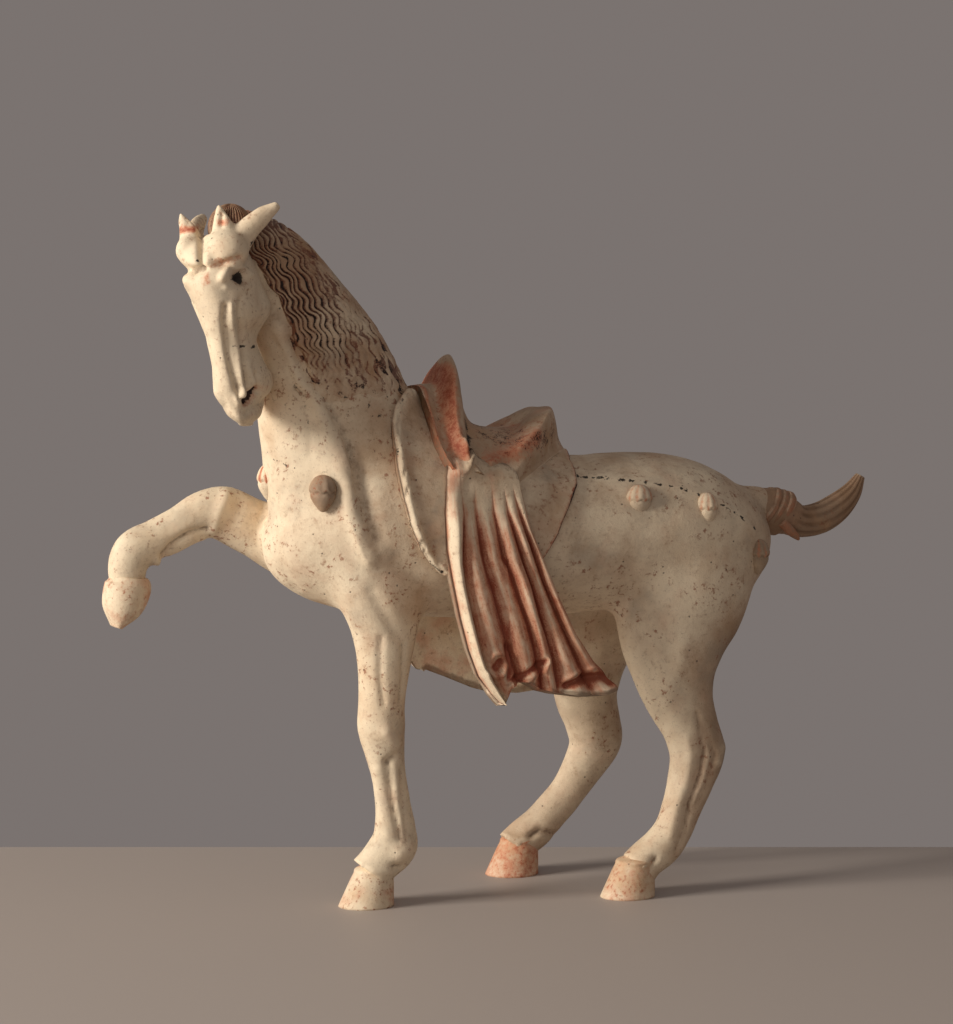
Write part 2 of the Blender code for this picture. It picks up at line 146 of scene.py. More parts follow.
def limbRings(stations, steps=4, around=32):
    # Rings square to a limb, from stations of x, y, z, half depth, half width and heading in degrees: their width
    # runs to the left, and their depth along the cross product of the limb's direction and left
    rows = smoothRows(stations, steps)
    heading = np.radians(rows[:, 5]) if rows.shape[1] > 5 else np.zeros(len(rows))
    left = np.stack([np.sin(heading), -np.cos(heading), 0 * heading], 1)
    along = np.gradient(rows[:, :3], axis=0)
    along -= (along * left).sum(1)[:, None] * left
    along /= np.linalg.norm(along, axis=1)[:, None]
    return ovals(rows, np.cross(along, left)[:, None], left[:, None], around)


def levelRings(stations, headingDegrees=0.0, steps=4, around=32):
    # Level rings of one heading: their depth runs ahead and their width to the left
    return ovals(smoothRows(stations, steps), *headingWays(headingDegrees), around)


def ballRings(centre, radii, headingDegrees=0.0, rows=14, around=24):
    # An ellipsoid as level rings: height cos(t), ring size sin(t); radii are ahead, left and up
    t = np.linspace(math.pi, 0, rows + 2)[1:-1]
    x, y, z = centre
    stations = [(x, y, z + radii[2] * math.cos(k), radii[0] * math.sin(k), radii[1] * math.sin(k)) for k in t]
    return levelRings(stations, headingDegrees, 1, around)


# Skins: points, four-sided faces and three-sided faces

def ringSkin(rings):
    rows, around = rings.shape[:2]
    index = np.arange(rows * around).reshape(rows, around)
    beside = np.roll(index, -1, axis=1)
    quads = np.stack([index[:-1], index[1:], beside[1:], beside[:-1]], -1).reshape(-1, 4)
    points = np.vstack([rings.reshape(-1, 3), rings[0].mean(0), rings[-1].mean(0)])
    first = np.stack([index[0], beside[0], np.full(around, rows * around)], -1)
    last = np.stack([beside[-1], index[-1], np.full(around, rows * around + 1)], -1)
    return points, quads, np.vstack([first, last])


def gridCells(index):
    return np.stack([index[:-1, :-1], index[1:, :-1], index[1:, 1:], index[:-1, 1:]], -1).reshape(-1, 4)


def borderOf(index):
    return np.concatenate([index[0, :-1], index[:-1, -1], index[-1, :0:-1], index[:0:-1, 0]])


def slabSkin(outer, inner):
    # Two grids of one size, joined by a strip along their borders
    index = np.arange(outer.shape[0] * outer.shape[1]).reshape(outer.shape[:2])
    border = borderOf(index)
    beside = np.roll(border, -1)
    strip = np.stack([border, border + index.size, beside + index.size, beside], -1)
    quads = np.vstack([gridCells(index), gridCells(index + index.size)[:, ::-1], strip])
    return np.vstack([outer.reshape(-1, 3), inner.reshape(-1, 3)]), quads, np.empty((0, 3), int)


def reliefSkin(outer, inner):
    # One grid laid on the body: its border is sunk to the inner grid's, and closed by a fan to a buried point
    index = np.arange(outer.shape[0] * outer.shape[1]).reshape(outer.shape[:2])
    border = borderOf(index)
    sunk = inner.reshape(-1, 3)[border]
    low = index.size + np.arange(len(border))
    beside, lowBeside = np.roll(border, -1), np.roll(low, -1)
    strip = np.stack([border, low, lowBeside, beside], -1)
    fan = np.stack([low, np.full(len(low), index.size + len(low)), lowBeside], -1)
    points = np.vstack([outer.reshape(-1, 3), sunk, sunk.mean(0)])
    return points, np.vstack([gridCells(index), strip]), fan


def joinedSkins(skins):
    points, quads, tris, start = [], [], [], 0
    for p, q, t in skins:
        points.append(p)
        quads.append(q + start)
        tris.append(t + start)
        start += len(p)
    return np.vstack(points), np.vstack(quads), np.vstack(tris)


def outwards(skin):
    # Turns every face round if the skin holds a negative volume
    points, quads, tris = skin
    fans = np.vstack([quads[:, [0, 1, 2]], quads[:, [0, 2, 3]], tris]).astype(int)
    a, b, c = (points[fans[:, k]] for k in range(3))
    if np.einsum("ij,ij->i", a, np.cross(b, c)).sum() < 0:
        return points, quads[:, ::-1], tris[:, ::-1]
    return skin


def meshOf(name, skin):
    points, quads, tris = skin
    mesh = bpy.data.meshes.new(name)
    mesh.from_pydata(toWorld(points).tolist(), [], quads.tolist() + tris.astype(int).tolist())
    return mesh


def addObject(name, data):
    made = bpy.data.objects.new(name, data)
    bpy.context.scene.collection.objects.link(made)
    return made


def piece(name, mesh, material, marks):
    # A finished piece: smooth shading, its material, its painted marks, and its place in the frame
    for mark, values in marks.items():
        mesh.attributes.new(mark, "FLOAT", "POINT").data.foreach_set("value", np.asarray(values, np.float32))
    mesh.shade_smooth()
    mesh.materials.append(material)
    made = addObject(name, mesh)
    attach(made, "root")
    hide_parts("horse")
    print(f"{name}: {len(mesh.polygons)} faces")


# Clay that is worked after it is fused

def fusedMesh(name, skins, grid):
    # One skin round overlapping closed shells, on a grid of cubes
    lump = addObject(name, meshOf(name, joinedSkins(skins)))
    remesh = lump.modifiers.new("fuse", "REMESH")
    remesh.mode = "VOXEL"
    remesh.voxel_size = grid * mm
    bpy.context.view_layer.update()
    fused = bpy.data.meshes.new_from_object(lump.evaluated_get(bpy.context.evaluated_depsgraph_get()))
    bpy.data.objects.remove(lump)
    fused.name = name
    return fused


def readMesh(mesh):
    # Points in millimetres of the figure, outward normals, and pairs of neighbours
    def values(items, key, size, kind=np.float32):
        table = np.empty(len(items) * size, kind)
        items.foreach_get(key, table)
        return table.reshape(-1, size)

    points = (values(mesh.vertices, "co", 3).astype(float) - origin) / mm
    normals = values(mesh.vertex_normals, "vector", 3).astype(float)
    return points, normals, values(mesh.edges, "vertices", 2, np.int32)


def writeMesh(mesh, points):
    mesh.vertices.foreach_set("co", toWorld(points).astype(np.float32).ravel())
    mesh.update()


def relaxed(points, edges, amount, rounds):
    # Each point moves half way to the middle of its neighbours, times its amount, round after round
    a, b = edges.T
    size = len(points)
    count = np.bincount(edges.ravel(), minlength=size)[:, None]
    amount = np.broadcast_to(amount, size)[:, None]
    for _ in range(rounds):
        total = [np.bincount(a, points[b, k], size) + np.bincount(b, points[a, k], size) for k in range(3)]
        points = points + 0.5 * amount * (np.stack(total, 1) / count - points)
    return points


def hollowness(mesh, rounds=8):
    # How far each point lies below the smoothed surface, in millimetres; negative on ridges
    points, normals, edges = readMesh(mesh)
    return ((relaxed(points, edges, 1.0, rounds) - points) * normals).sum(1)


# Shader maths

class Wire:
    # One output socket: arithmetic on it adds Math nodes, and node adds any other
    def __init__(self, tree, socket=None):
        self.tree = tree
        self.socket = socket

    def node(self, kind, settings=None, inputs=None, output=0):
        made = self.tree.nodes.new(kind)
        for name, value in (settings or {}).items():
            setattr(made, name, value)
        for name, value in (inputs or {}).items():
            if isinstance(value, Wire):
                self.tree.links.new(value.socket, made.inputs[name])
            else:
                made.inputs[name].default_value = value
        return Wire(self.tree, made.outputs[output])

    def maths(self, operation, first, second):
        return self.node("ShaderNodeMath", {"operation": operation}, {0: first, 1: second})

    def __add__(self, other):
        return self.maths("ADD", self, other)

    __radd__ = __add__

    def __sub__(self, other):
        return self.maths("SUBTRACT", self, other)

    def __rsub__(self, other):
        return self.maths("SUBTRACT", other, self)

    def __mul__(self, other):
        return self.maths("MULTIPLY", self, other)

    __rmul__ = __mul__

    def noise(self, size, detail, roughness=0.55):
        # Noise whose blotches are about that many millimetres across
        inputs = {"Vector": self, "Scale": 1 / (size * mm), "Detail": detail, "Roughness": roughness}
        return self.node("ShaderNodeTexNoise", None, inputs)

    def cells(self, size, output="Distance"):
        return self.node("ShaderNodeTexVoronoi", None, {"Vector": self, "Scale": 1 / (size * mm)}, output)

    def between(self, low, high):
        # 0 below low, 1 above high, smooth between
        inputs = {"Value": self, "From Min": low, "From Max": high}
        return self.node("ShaderNodeMapRange", {"interpolation_type": "SMOOTHSTEP"}, inputs)

    def mark(self, name):
        return self.node("ShaderNodeAttribute", {"attribute_name": name}, None, "Fac")

    def over(self, factor, colour):
        # This colour with another laid over it by a factor
        return self.node("ShaderNodeMix", {"data_type": "RGBA"}, {0: factor, 6: self, 7: colour}, 2)


def tone(red, green, blue):
    # A screen colour, 0 to 255, as the shader's linear colour
    parts = np.array([red, green, blue]) / 255
    linear = np.where(parts <= 0.04045, parts / 12.92, ((parts + 0.055) / 1.055) ** 2.4)
    return (*linear.tolist(), 1.0)


slip = {
    "cream": tone(228, 211, 183),
    "brown": tone(168, 136, 108),
    "grey": tone(158, 146, 130),
    "tan": tone(196, 156, 114),
    "pink": tone(206, 160, 132),
    "dirtAndHollowShade": tone(92, 66, 48),
    "umber": tone(112, 84, 60),
    "rust": tone(140, 80, 52),
    "orange": tone(196, 122, 88),
    "red": tone(150, 58, 36),
    "deepRed": tone(92, 42, 32),
    "black": tone(24, 20, 19),
}

# How much of each a finish shows: brown, grey, tan and pink in its slip, rusty specks, orange wash over its painted
# parts, and the strength of its bumps
finishParts = ("brown", "grey", "tan", "pink", "specks", "wash", "bump")
finishes = {
    "body": (0.65, 0.4, 0.25, 0.18, 0.7, 0.0, 0.5),
    "head": (0.35, 0.3, 0.15, 0.1, 0.4, 0.85, 0.45),
    "mane": (1.0, 0.5, 0.4, 0.2, 0.5, 0.0, 0.5),
    "saddle": (0.8, 0.4, 0.4, 0.5, 0.5, 0.8, 0.5),
    "cloth": (0.25, 0.1, 0.4, 0.8, 0.2, 0.75, 0.5),
    "blanket": (0.8, 0.8, 0.2, 0.2, 0.5, 0.3, 0.5),
    "hoof": (0.4, 0.1, 0.6, 1.0, 0.7, 0.8, 0.6),
    "tail": (0.95, 0.2, 0.6, 0.2, 0.4, 0.6, 0.5),
}

# Noises from broad to fine: size in millimetres, detail and roughness; each blotch also has the two values of its
# noise between which it fades in
noises = {"broad": (90, 4), "patch": (30, 5, 0.62), "mottle": (9, 6, 0.68), "fine": (3.2, 5, 0.65),
          "grain": (1.1, 3, 0.6)}
blotches = {"grey": ((48, 5, 0.62), (0.5, 0.68)), "tan": ((60, 5, 0.6), (0.5, 0.7)), "pink": ((20, 4), (0.5, 0.72))}
pinhole = {"spacing": 6.5, "edge": (0.05, 0.15), "chosen": (0.8, 0.82)}
streaks = {"squeeze": 0.09, "scale": 0.42, "detail": 5.0, "roughness": 0.6}
surface = {"specular": 0.35, "bumpHeight": 1.3}


def firedClay(kind):
    # Worn slip over buff clay: blotches, dirt and painted shade in hollows, rubbed ridges, rusty specks, pinholes,
    # and the pigment that the marks red and black ask for; the cloth's pigment is drawn out along the mark down
    want = dict(zip(finishParts, finishes[kind]))
    material = bpy.data.materials.new(f"{kind}_clay")
    material.use_nodes = True
    tree = material.node_tree
    shader = tree.nodes["Principled BSDF"]
    place = Wire(tree).node("ShaderNodeTexCoord", None, None, "Object")

    hollow = place.mark("hollow")
    stain = place.mark("stain")
    broad, patch, mottle, fine, grain = (place.noise(*values) for values in noises.values())

    colour = place.node("ShaderNodeRGB")
    colour.socket.default_value = slip["cream"]
    brownness = (broad * 0.45 + patch * 0.4 + mottle * 0.15 - 0.5) * 5.0 + stain * 1.2 - 0.1
    colour = colour.over(brownness.between(-0.35, 1.0) * want["brown"], slip["brown"])
    # Umber where the stain-and-shade mark runs high: brown stain, and painted shade on the parts that face away
    # from the light
    colour = colour.over((stain + (patch - 0.5) * 1.6).between(0.55, 1.9) * 0.85, slip["umber"])
    for name, (values, fade) in blotches.items():
        colour = colour.over(place.noise(*values).between(*fade) * want[name], slip[name])
    colour = colour.over((mottle * 0.6 + fine * 0.4).between(0.5, 0.66) * 0.3, slip["brown"])
    colour = colour.over((grain * 0.6 + fine * 0.4).between(0.53, 0.66) * 0.25, slip["dirtAndHollowShade"])

    # Dirt and painted shade: the hollow mark darkens creases and recesses as painted shade, and the noises add real
    # dirt
    dirtAndHollowShade = (hollow * 0.7 + (mottle - 0.5) * 1.2 + (fine - 0.5) * 0.8 + stain * 0.1).between(0.15, 1.1)
    colour = colour.over(dirtAndHollowShade * 0.65, slip["dirtAndHollowShade"])
    rubbed = (0 - hollow).between(0.15, 0.9) * mottle.between(0.3, 0.6)
    colour = colour.over(rubbed * 0.45, slip["cream"])

    flecks = (fine * 0.7 + mottle * 0.3).between(0.545, 0.61) * place.noise(28, 3).between(0.46, 0.58)
    colour = colour.over(flecks * want["specks"], slip["rust"])

    chosen = place.cells(pinhole["spacing"], "Color")
    chosen = chosen.node("ShaderNodeSeparateColor", None, {"Color": chosen})
    pinholes = 1 - place.cells(pinhole["spacing"]).between(*pinhole["edge"])
    pinholes = pinholes * chosen.between(*pinhole["chosen"])
    colour = colour.over(pinholes * 0.75, slip["black"])

    if kind == "cloth":
        down = place.mark("down") * streaks["squeeze"]
        flow = place.node("ShaderNodeCombineXYZ", None, {"X": place.mark("across"), "Y": down})
        inputs = {"Vector": flow, "Scale": streaks["scale"], "Detail": streaks["detail"],
                  "Roughness": streaks["roughness"]}
        loose = flow.node("ShaderNodeTexNoise", None, inputs) * 0.65 + mottle * 0.35
    else:
        loose = mottle * 0.5 + fine * 0.5
    redMark = place.mark("red")
    washed = (redMark * 1.1 + (loose - 0.5) * 2.2).between(0.1, 0.9)
    colour = colour.over(washed * want["wash"] * redMark.between(0.0, 0.25), slip["orange"])
    pigment = (redMark * 0.9 + (loose - 0.5) * 2.0 + (grain - 0.5) * 1.0).between(0.5, 1.05)
    redTone = place.node("ShaderNodeRGB")
    redTone.socket.default_value = slip["deepRed" if kind == "mane" else "red"]
    redTone = redTone.over(patch.between(0.42, 0.6) * 0.5, slip["rust"])
    redTone = redTone.over(dirtAndHollowShade * 0.5, slip["deepRed"])
    colour = colour.over(pigment * 0.8, redTone)

    black = (place.mark("black") + (mottle - 0.5) * 1.3 + (grain - 0.5) * 0.8).between(0.5, 0.68)
    colour = colour.over(black * 0.94, slip["black"])
    tree.links.new(colour.socket, shader.inputs["Base Color"])

    roughness = 0.7 + (patch - 0.5) * 0.3 + dirtAndHollowShade * 0.15
    tree.links.new(roughness.socket, shader.inputs["Roughness"])
    shader.inputs["Specular IOR Level"].default_value = surface["specular"]

    height = mottle * 0.6 + fine * 0.35 + grain * 0.12 + patch * 0.6 - pinholes * 0.7 - pigment * 0.1
    inputs = {"Strength": want["bump"], "Distance": surface["bumpHeight"] * mm, "Height": height}
    bump = place.node("ShaderNodeBump", None, inputs, "Normal")
    tree.links.new(bump.socket, shader.inputs["Normal"])
    return material


clay = {kind: firedClay(kind) for kind in finishes}

# Trunk, neck and limbs

trunk = [
    (-147, 0, 300, 16, 14), (-142, 0, 293, 36, 30), (-132, 0, 287, 54, 45), (-113, 0, 287, 67, 57),
    (-84, 0, 291, 76, 64), (-42, 0, 285, 73, 68), (0, 0, 276, 66, 70), (42, 0, 272, 62, 69), (84, 0, 271, 60, 68),
    (124, 0, 274, 59, 68), (158, 0, 270, 58, 66), (186, 0, 260, 53, 59), (208, 0, 249, 43, 47),
    (222, 0, 241, 29, 32), (228, 0, 238, 10, 12),
]
neck = [
    (-82, 0, 262, 56, 50, 0), (-88, 0, 292, 66, 55, 0), (-98, 0, 326, 69, 51, 0), (-113, -3, 366, 60, 42, 5),
    (-129, -8, 408, 51, 34, 12), (-149, -14, 446, 40, 29, 20), (-168, -20, 472, 34, 26, 27),
    (-189, -26, 488, 26, 22, 32), (-204, -34, 493, 16, 17, 35),
]
limbs = {
    "standingFore": [
        (-94, -26, 292, 46, 28), (-89, -31, 262, 42, 27), (-86, -35, 232, 34, 24), (-84, -34, 205, 25.5, 20),
        (-84, -32, 180, 20, 17.5), (-85, -30, 156, 17.5, 16), (-85, -28, 137, 18, 16.5), (-82, -26, 118, 15, 13.5),
        (-78, -24, 98, 13, 11.5), (-74, -22, 76, 13.5, 11.5), (-72, -20, 56, 16, 13), (-73, -18, 43, 18.5, 14),
        (-84, -17, 31, 16, 14), (-90, -16, 24, 17, 15),
    ],
    "raisedFore": [
        (-92, 26, 280, 44, 26), (-114, 33, 268, 37, 26), (-140, 40, 270, 28, 21), (-161, 45, 280, 22.5, 17.5),
        (-181, 47, 290, 21.5, 17), (-199, 48, 290, 18, 15.5), (-218, 48, 281, 16, 13.5), (-237, 48, 273, 15, 12.5),
        (-251, 48, 266, 15.5, 13), (-257, 48, 254, 14.5, 13), (-257, 48, 243, 13.5, 12.5),
    ],
    "nearHind": [
        (152, -18, 292, 48, 36), (158, -25, 262, 57, 38), (154, -31, 230, 57, 36), (145, -38, 199, 48, 30),
        (143, -43, 170, 34.5, 24), (147, -46, 146, 26.5, 19), (155, -48, 125, 22, 16.5), (160, -49, 106, 22, 15),
        (155, -50, 87, 19, 13), (148, -50, 67, 16, 11.5), (141, -50, 49, 15, 12), (131, -50, 36, 15.5, 14),
        (118, -50, 27, 15, 14.5), (111, -50, 20, 16.5, 15),
    ],
    "farHind": [
        (134, 16, 290, 48, 36), (134, 24, 258, 53, 38), (124, 33, 228, 52, 35), (113, 40, 196, 42, 30),
        (109, 46, 166, 31, 24), (110, 51, 140, 26, 19), (116, 54, 119, 22.5, 16.5), (119, 56, 100, 21, 15),
        (109, 57, 81, 17, 13), (97, 58, 63, 14.5, 11.5), (83, 59, 47, 14.5, 12), (71, 60, 35, 15, 13.5),
        (59, 60, 26, 15, 14), (53, 60, 20, 16.5, 15),
    ],
    "tailRoot": [(190, 0, 286, 18, 16), (208, 0, 288, 17, 16), (228, 0, 287, 16, 15.5), (238, 0, 284, 15, 14)],
    "neckRidge": [
        (-152, -30, 436, 3, 3), (-148, -34, 420, 4.5, 5), (-137, -39, 380, 6, 6.5), (-123, -48, 322, 6, 7),
        (-106, -57, 285, 6, 6), (-92, -52, 245, 4, 4),
    ],
}
# The joins between the shells are blended away up from the legs, back from the raised knee and short of the tail
bodyFinish = {
    "grid": 2.3, "blendRounds": 63, "settleRounds": 3,
    "upwards": (170, 210), "rearwards": (-185, -155), "shortOfTail": (-232, -212),
}

skins = [ringSkin(limbRings(trunk, 5, 56)), ringSkin(limbRings(neck, 6, 48))]
skins += [ringSkin(limbRings(stations, 5, 40)) for stations in limbs.values()]
bodyMesh = fusedMesh("body", skins, bodyFinish["grid"])
points, normals, edges = readMesh(bodyMesh)
x, y, z = points.T
blending = ease(*bodyFinish["upwards"], z)
blending *= ease(*bodyFinish["rearwards"], x) * ease(*bodyFinish["shortOfTail"], -x)
points = relaxed(points, edges, blending, bodyFinish["blendRounds"])
points = relaxed(points, edges, 1.0, bodyFinish["settleRounds"])

# Lines worked into the near side, drawn on the side view as x and z: each with its height and its width
bodyStrokes = [
    ([(-166, 431), (-157, 409), (-149, 393), (-139, 383), (-130, 358), (-123, 339), (-119, 319), (-117, 297),
      (-109, 275), (-103, 264)], 3.4, 5.0),
    ([(-158, 424), (-149, 405), (-139, 390), (-128, 376), (-117, 350), (-109, 328), (-105, 300),
      (-99, 280)], -3.0, 6.0), ([(-170, 425), (-162, 413), (-157, 399), (-153, 388), (-147, 383)], -1.2, 2.2),
    ([(-153, 389), (-150, 385)], -1.8, 2.4), ([(-147, 377), (-143, 358), (-142, 340)], -0.6, 2.0),
    ([(-124, 362), (-121, 345), (-117, 329)], 1.4, 3.4), ([(-129, 354), (-126, 338)], -1.0, 3.4),
    ([(-93, 205), (-93, 196), (-92, 174), (-89, 155)], -1.5, 2.2),
    ([(-76, 200), (-74, 173), (-75, 158)], -2.2, 2.2), ([(-86, 134), (-78, 125)], 3.0, 5.0),
    ([(-84, 111), (-80, 114)], -2.4, 3.4), ([(-83, 109), (-79, 82), (-72, 53)], -2.0, 2.6),
    ([(-76, 105), (-74, 80), (-69, 52)], 0.8, 2.0), ([(-72, 104), (-70, 81), (-67, 51)], -1.2, 2.0),
    ([(-90, 105), (-87, 80), (-81, 55)], 1.2, 3.0), ([(-71, 40), (-66, 42)], 3.0, 6.0),
    ([(-76, 31), (-70, 30)], -2.8, 2.6), ([(-105, 33), (-93, 29), (-80, 27)], 1.6, 2.8),
    ([(-233, 262), (-227, 270), (-213, 279), (-200, 281)], -2.6, 2.2),
    ([(-233, 253), (-225, 262), (-210, 272), (-200, 274)], 1.6, 2.4), ([(-236, 258), (-237, 254)], 5.0, 3.2),
    ([(-184, 306), (-191, 293), (-194, 280)], 2.0, 4.0), ([(-176, 300), (-180, 286)], -1.6, 5.0),
    ([(-155, 297), (-164, 276), (-157, 254), (-145, 238)], -1.2, 3.0),
    ([(153, 138), (155, 130), (159, 110), (156, 91), (149, 72), (144, 50), (138, 35)], -2.4, 2.4),
    ([(146, 120), (149, 108), (146, 88), (139, 68), (133, 48)], 1.6, 3.2),
    ([(159, 128), (168, 106), (162, 83), (151, 63)], -1.3, 2.2), ([(176, 110), (172, 100)], 2.4, 5.0),
    ([(120, 30), (115, 24), (108, 19)], -2.4, 2.4), ([(90, 27), (99, 25), (112, 24)], 1.6, 2.8),
    ([(116, 184), (121, 157), (130, 130)], -1.6, 5.0), ([(140, 190), (134, 165), (128, 145)], 1.4, 6.0),
    ([(62, 31), (69, 35), (83, 31)], -2.6, 2.6), ([(41, 31), (52, 28), (64, 27)], 1.6, 2.8),
    ([(82, 317), (118, 312), (150, 306), (172, 299), (190, 288), (206, 273)], 1.2, 3.2),
    ([(-101, 240), (-91, 222), (-80, 206)], -1.6, 5.0), ([(-85, 262), (-70, 250), (-60, 236)], -1.6, 6.0),
    ([(98, 250), (106, 225), (112, 200)], -1.8, 7.0),
]
harness = [(64, 319), (90, 315), (118, 312), (144, 307), (160, 301), (177, 294), (193, 284), (208, 274)]
breastStrap = [(-168, 338), (-155, 331), (-142, 327), (-131, 328), (-118, 328)]
rowGap = 3.2
x, y, z = points.T
sideView = points[:, [0, 2]]
nearSide = ease(0.0, 0.45, -normals[:, 1])
lumpy = speckled(x + y, z, 26, 3) + 0.5 * speckled(x, z, 11, 5)
worked = carving(sideView, bodyStrokes) * nearSide + 1.0 * (lumpy - 0.75)
points = points + normals * (worked * ease(0, 8, z))[:, None]
writeMesh(bodyMesh, points)
x, y, z = points.T
dotted = speckled(x, z, 4.5, 8)
fineDots = ease(0.35, 0.6, speckled(x, z, 2.3, 9))
lines = 0.95 * bell(lineDistance(sideView, harness), 1.4) * (0.3 + 0.7 * fineDots)
upperRow = [(back, up + rowGap) for back, up in harness]
lines += 0.5 * bell(lineDistance(sideView, upperRow), 1.0) * fineDots * dotted
lines += 0.7 * bell(lineDistance(sideView, breastStrap), 1.0) * fineDots
for line, height, width in bodyStrokes[2:5]:
    lines += 0.6 * bell(lineDistance(sideView, line), 1.0) * (0.2 + dotted)
neckSpots = ease(0.72, 0.86, speckled(x, 0.7 * z, 2.6, 10))
lines += 0.62 * neckSpots * bell(lineDistance(sideView, [(-108, 388), (-92, 352)]), 26)

# Brown stain, with painted shade where parts face away from the light: darker towards the rear, behind the neck's
# ridge, on the low rump, on the croup and on the far legs
neckRidge = [(up, back) for back, up in bodyStrokes[0][0][::-1]]
behindRidge = ease(0, 14, x - onLine(z, neckRidge)) * nearSide * ease(190, 240, z)
lowRump = ease(125, 185, x) * ease(235, 180, z)
croup = ease(315, 335, z) * ease(60, 80, x)
farLegs = ease(228, 200, z) * ease(-20, 30, y)
stain = 0.1 * ease(-135, 60, x) + 0.22 * behindRidge * ease(40, -20, x)
stain += 0.6 * ease(165, 215, x) + 1.1 * lowRump + 0.4 * croup + 0.5 * farLegs
marks = {"hollow": hollowness(bodyMesh), "red": 0 * z, "black": lines * nearSide, "stain": stain}
piece("body", bodyMesh, clay["body"], marks)

# Head

headRows = {
    "heading": 49.0,
    "stations": [
        (-214, -47, 500, 18, 15), (-216, -50, 490, 28, 21), (-215, -51, 478, 34, 25), (-212, -51, 464, 38, 26.5),
        (-208, -52, 442, 38, 24), (-206, -52, 425, 31, 18.5), (-203, -51, 407, 30, 16.5), (-198, -46, 391, 34, 18),
        (-196, -45, 378, 30, 17), (-195, -51, 370, 24, 15.5), (-194.5, -53, 366, 16, 10.5),
        (-194, -53.7, 363, 6, 4.5),
    ],
    "grid": 1.0, "settleRounds": 12, "fitRounds": 8, "chinRounds": 20, "chin": (374, 366), "hollowRounds": 14,
}


def headMiddle(z):
    # The middle line of the head's rings at that height
    rows = np.asarray(headRows["stations"], float)[::-1]
    return [np.interp(z, rows[:, 2], rows[:, k]) for k in (0, 1)]


def headPlace(ahead, left, z):
    # A place so far ahead and to the left of that middle line
    x, y = headMiddle(z)
    heading = math.radians(headRows["heading"])
    across = ahead * math.cos(heading) - left * math.sin(heading)
    return (x - across, y - ahead * math.sin(heading) - left * math.cos(heading), z)


headBalls = [
    (25, 13, 470, 9, 8, 7), (25, -13, 470, 9, 8, 7), (-14, 13, 446, 20, 12, 22), (-14, -13, 446, 20, 12, 22),
    (22, 8, 386, 10, 6, 9), (22, -8, 386, 10, 6, 9), (14, 15, 489, 15, 17, 15), (15, -13, 488.5, 12, 9.2, 11),
    (-28, 0, 392, 10, 9, 9),
]
ears = [(16, -12.5, 500.5, 0.52), (16, 13.5, 506, 0.25)]
earRows = [(-12, 5.5, 7.5), (-4, 5.8, 8.8), (1, 5.4, 8.2), (7, 4.0, 5.8), (12, 2.4, 3.2), (15, 1.2, 1.5)]
locks = [
    [(-206, -68, 493, 11, 9), (-198, -70, 503, 9, 7.5), (-187, -73, 513, 7, 5.5), (-176, -75, 521, 3.5, 3.5)],
    [(-228, -34, 492, 9, 8), (-222, -24, 502, 8, 7), (-216, -14, 508, 6, 5), (-210, -6, 512, 3, 3)],
]

skins = [ringSkin(levelRings(headRows["stations"], headRows["heading"], 6, 56))]
for ahead, left, z, deep, wide, tall in headBalls:
    skins.append(ringSkin(ballRings(headPlace(ahead, left, z), (deep, wide, tall), headRows["heading"])))
for ahead, left, z, lean in ears:
    ear = [(*headPlace(ahead, left - lean * max(up, 0), z)[:2], z + up, deep, wide) for up, deep, wide in earRows]
    skins.append(ringSkin(levelRings(ear, headRows["heading"], 4, 24)))
skins += [ringSkin(limbRings(lock, 5, 28)) for lock in locks]
headMesh = fusedMesh("head", skins, headRows["grid"])
points, normals, edges = readMesh(headMesh)
points = relaxed(points, edges, 1.0, headRows["settleRounds"])

# Lines worked into both sides of the head, drawn as the near side looks from the camera's side: how far to the
# right, and z; each with its height and its width
headView = {
    "turn": 20.0, "bands": (364, 484, 2.0), "bandReach": 1.6,
    "fitFrom": (363, 366), "farUpTo": (484, 476), "nearUpTo": (456, 446),
    "farOutline": [(362.7, -168), (367.5, -175.5), (371, -179), (377.1, -182), (385.2, -185.6), (388.8, -187.2),
                   (405.5, -187.8), (426.8, -191.8), (442.7, -197.9), (450.8, -200.7), (462.3, -205.8),
                   (466.9, -207), (470.4, -205), (472.9, -203.4), (475.5, -203.2), (480, -208)],
    "nearOutline": [(362.7, -164), (363.8, -161.7), (367.5, -155.5), (377.1, -152.4), (382.4, -152.8),
                    (384.2, -149.2), (391.3, -146.1), (399.4, -146.6), (407.2, -151), (416.1, -155.5),
                    (423.2, -157.4), (432.1, -153.9), (441, -148.4), (450.8, -146)],
}
headStrokes = [
    ([(-167, 469.5)], -4.4, 3.8), ([(-178, 470), (-174, 476), (-166, 477), (-160, 471)], 2.2, 2.6),
    ([(-175.5, 463), (-168, 460.5), (-161.5, 463)], 1.4, 2.2),
    ([(-176, 450), (-177, 439), (-175, 417), (-171.5, 401), (-167, 384)], -2.7, 2.4),
    ([(-172.4, 451), (-171.5, 435), (-168, 412.5), (-164.5, 386)], 1.9, 1.8),
    ([(-166.3, 454), (-166, 439), (-165, 417), (-162.8, 399), (-162, 386)], -3.0, 2.0),
    ([(-162.8, 410), (-157.5, 395)], 1.4, 2.2), ([(-163, 451), (-161, 426)], -0.9, 1.5),
    ([(-155, 473.5), (-154, 448.5)], -0.8, 1.4), ([(-170, 458), (-168, 452)], 1.2, 3.0),
    ([(-162.8, 381.5), (-159.2, 385), (-155.7, 389.5)], -5.5, 2.7),
    ([(-166.5, 382), (-164, 389), (-159, 396)], 1.7, 2.3),
    ([(-163, 374), (-158.7, 377.5), (-152.6, 378.5)], -1.7, 1.7),
    ([(-156.4, 401), (-155.5, 394), (-154.6, 386)], -2.0, 1.8), ([(-180, 507), (-179, 514)], -2.0, 2.2),
    ([(-204, 503), (-206, 509)], -1.8, 2.2),
]
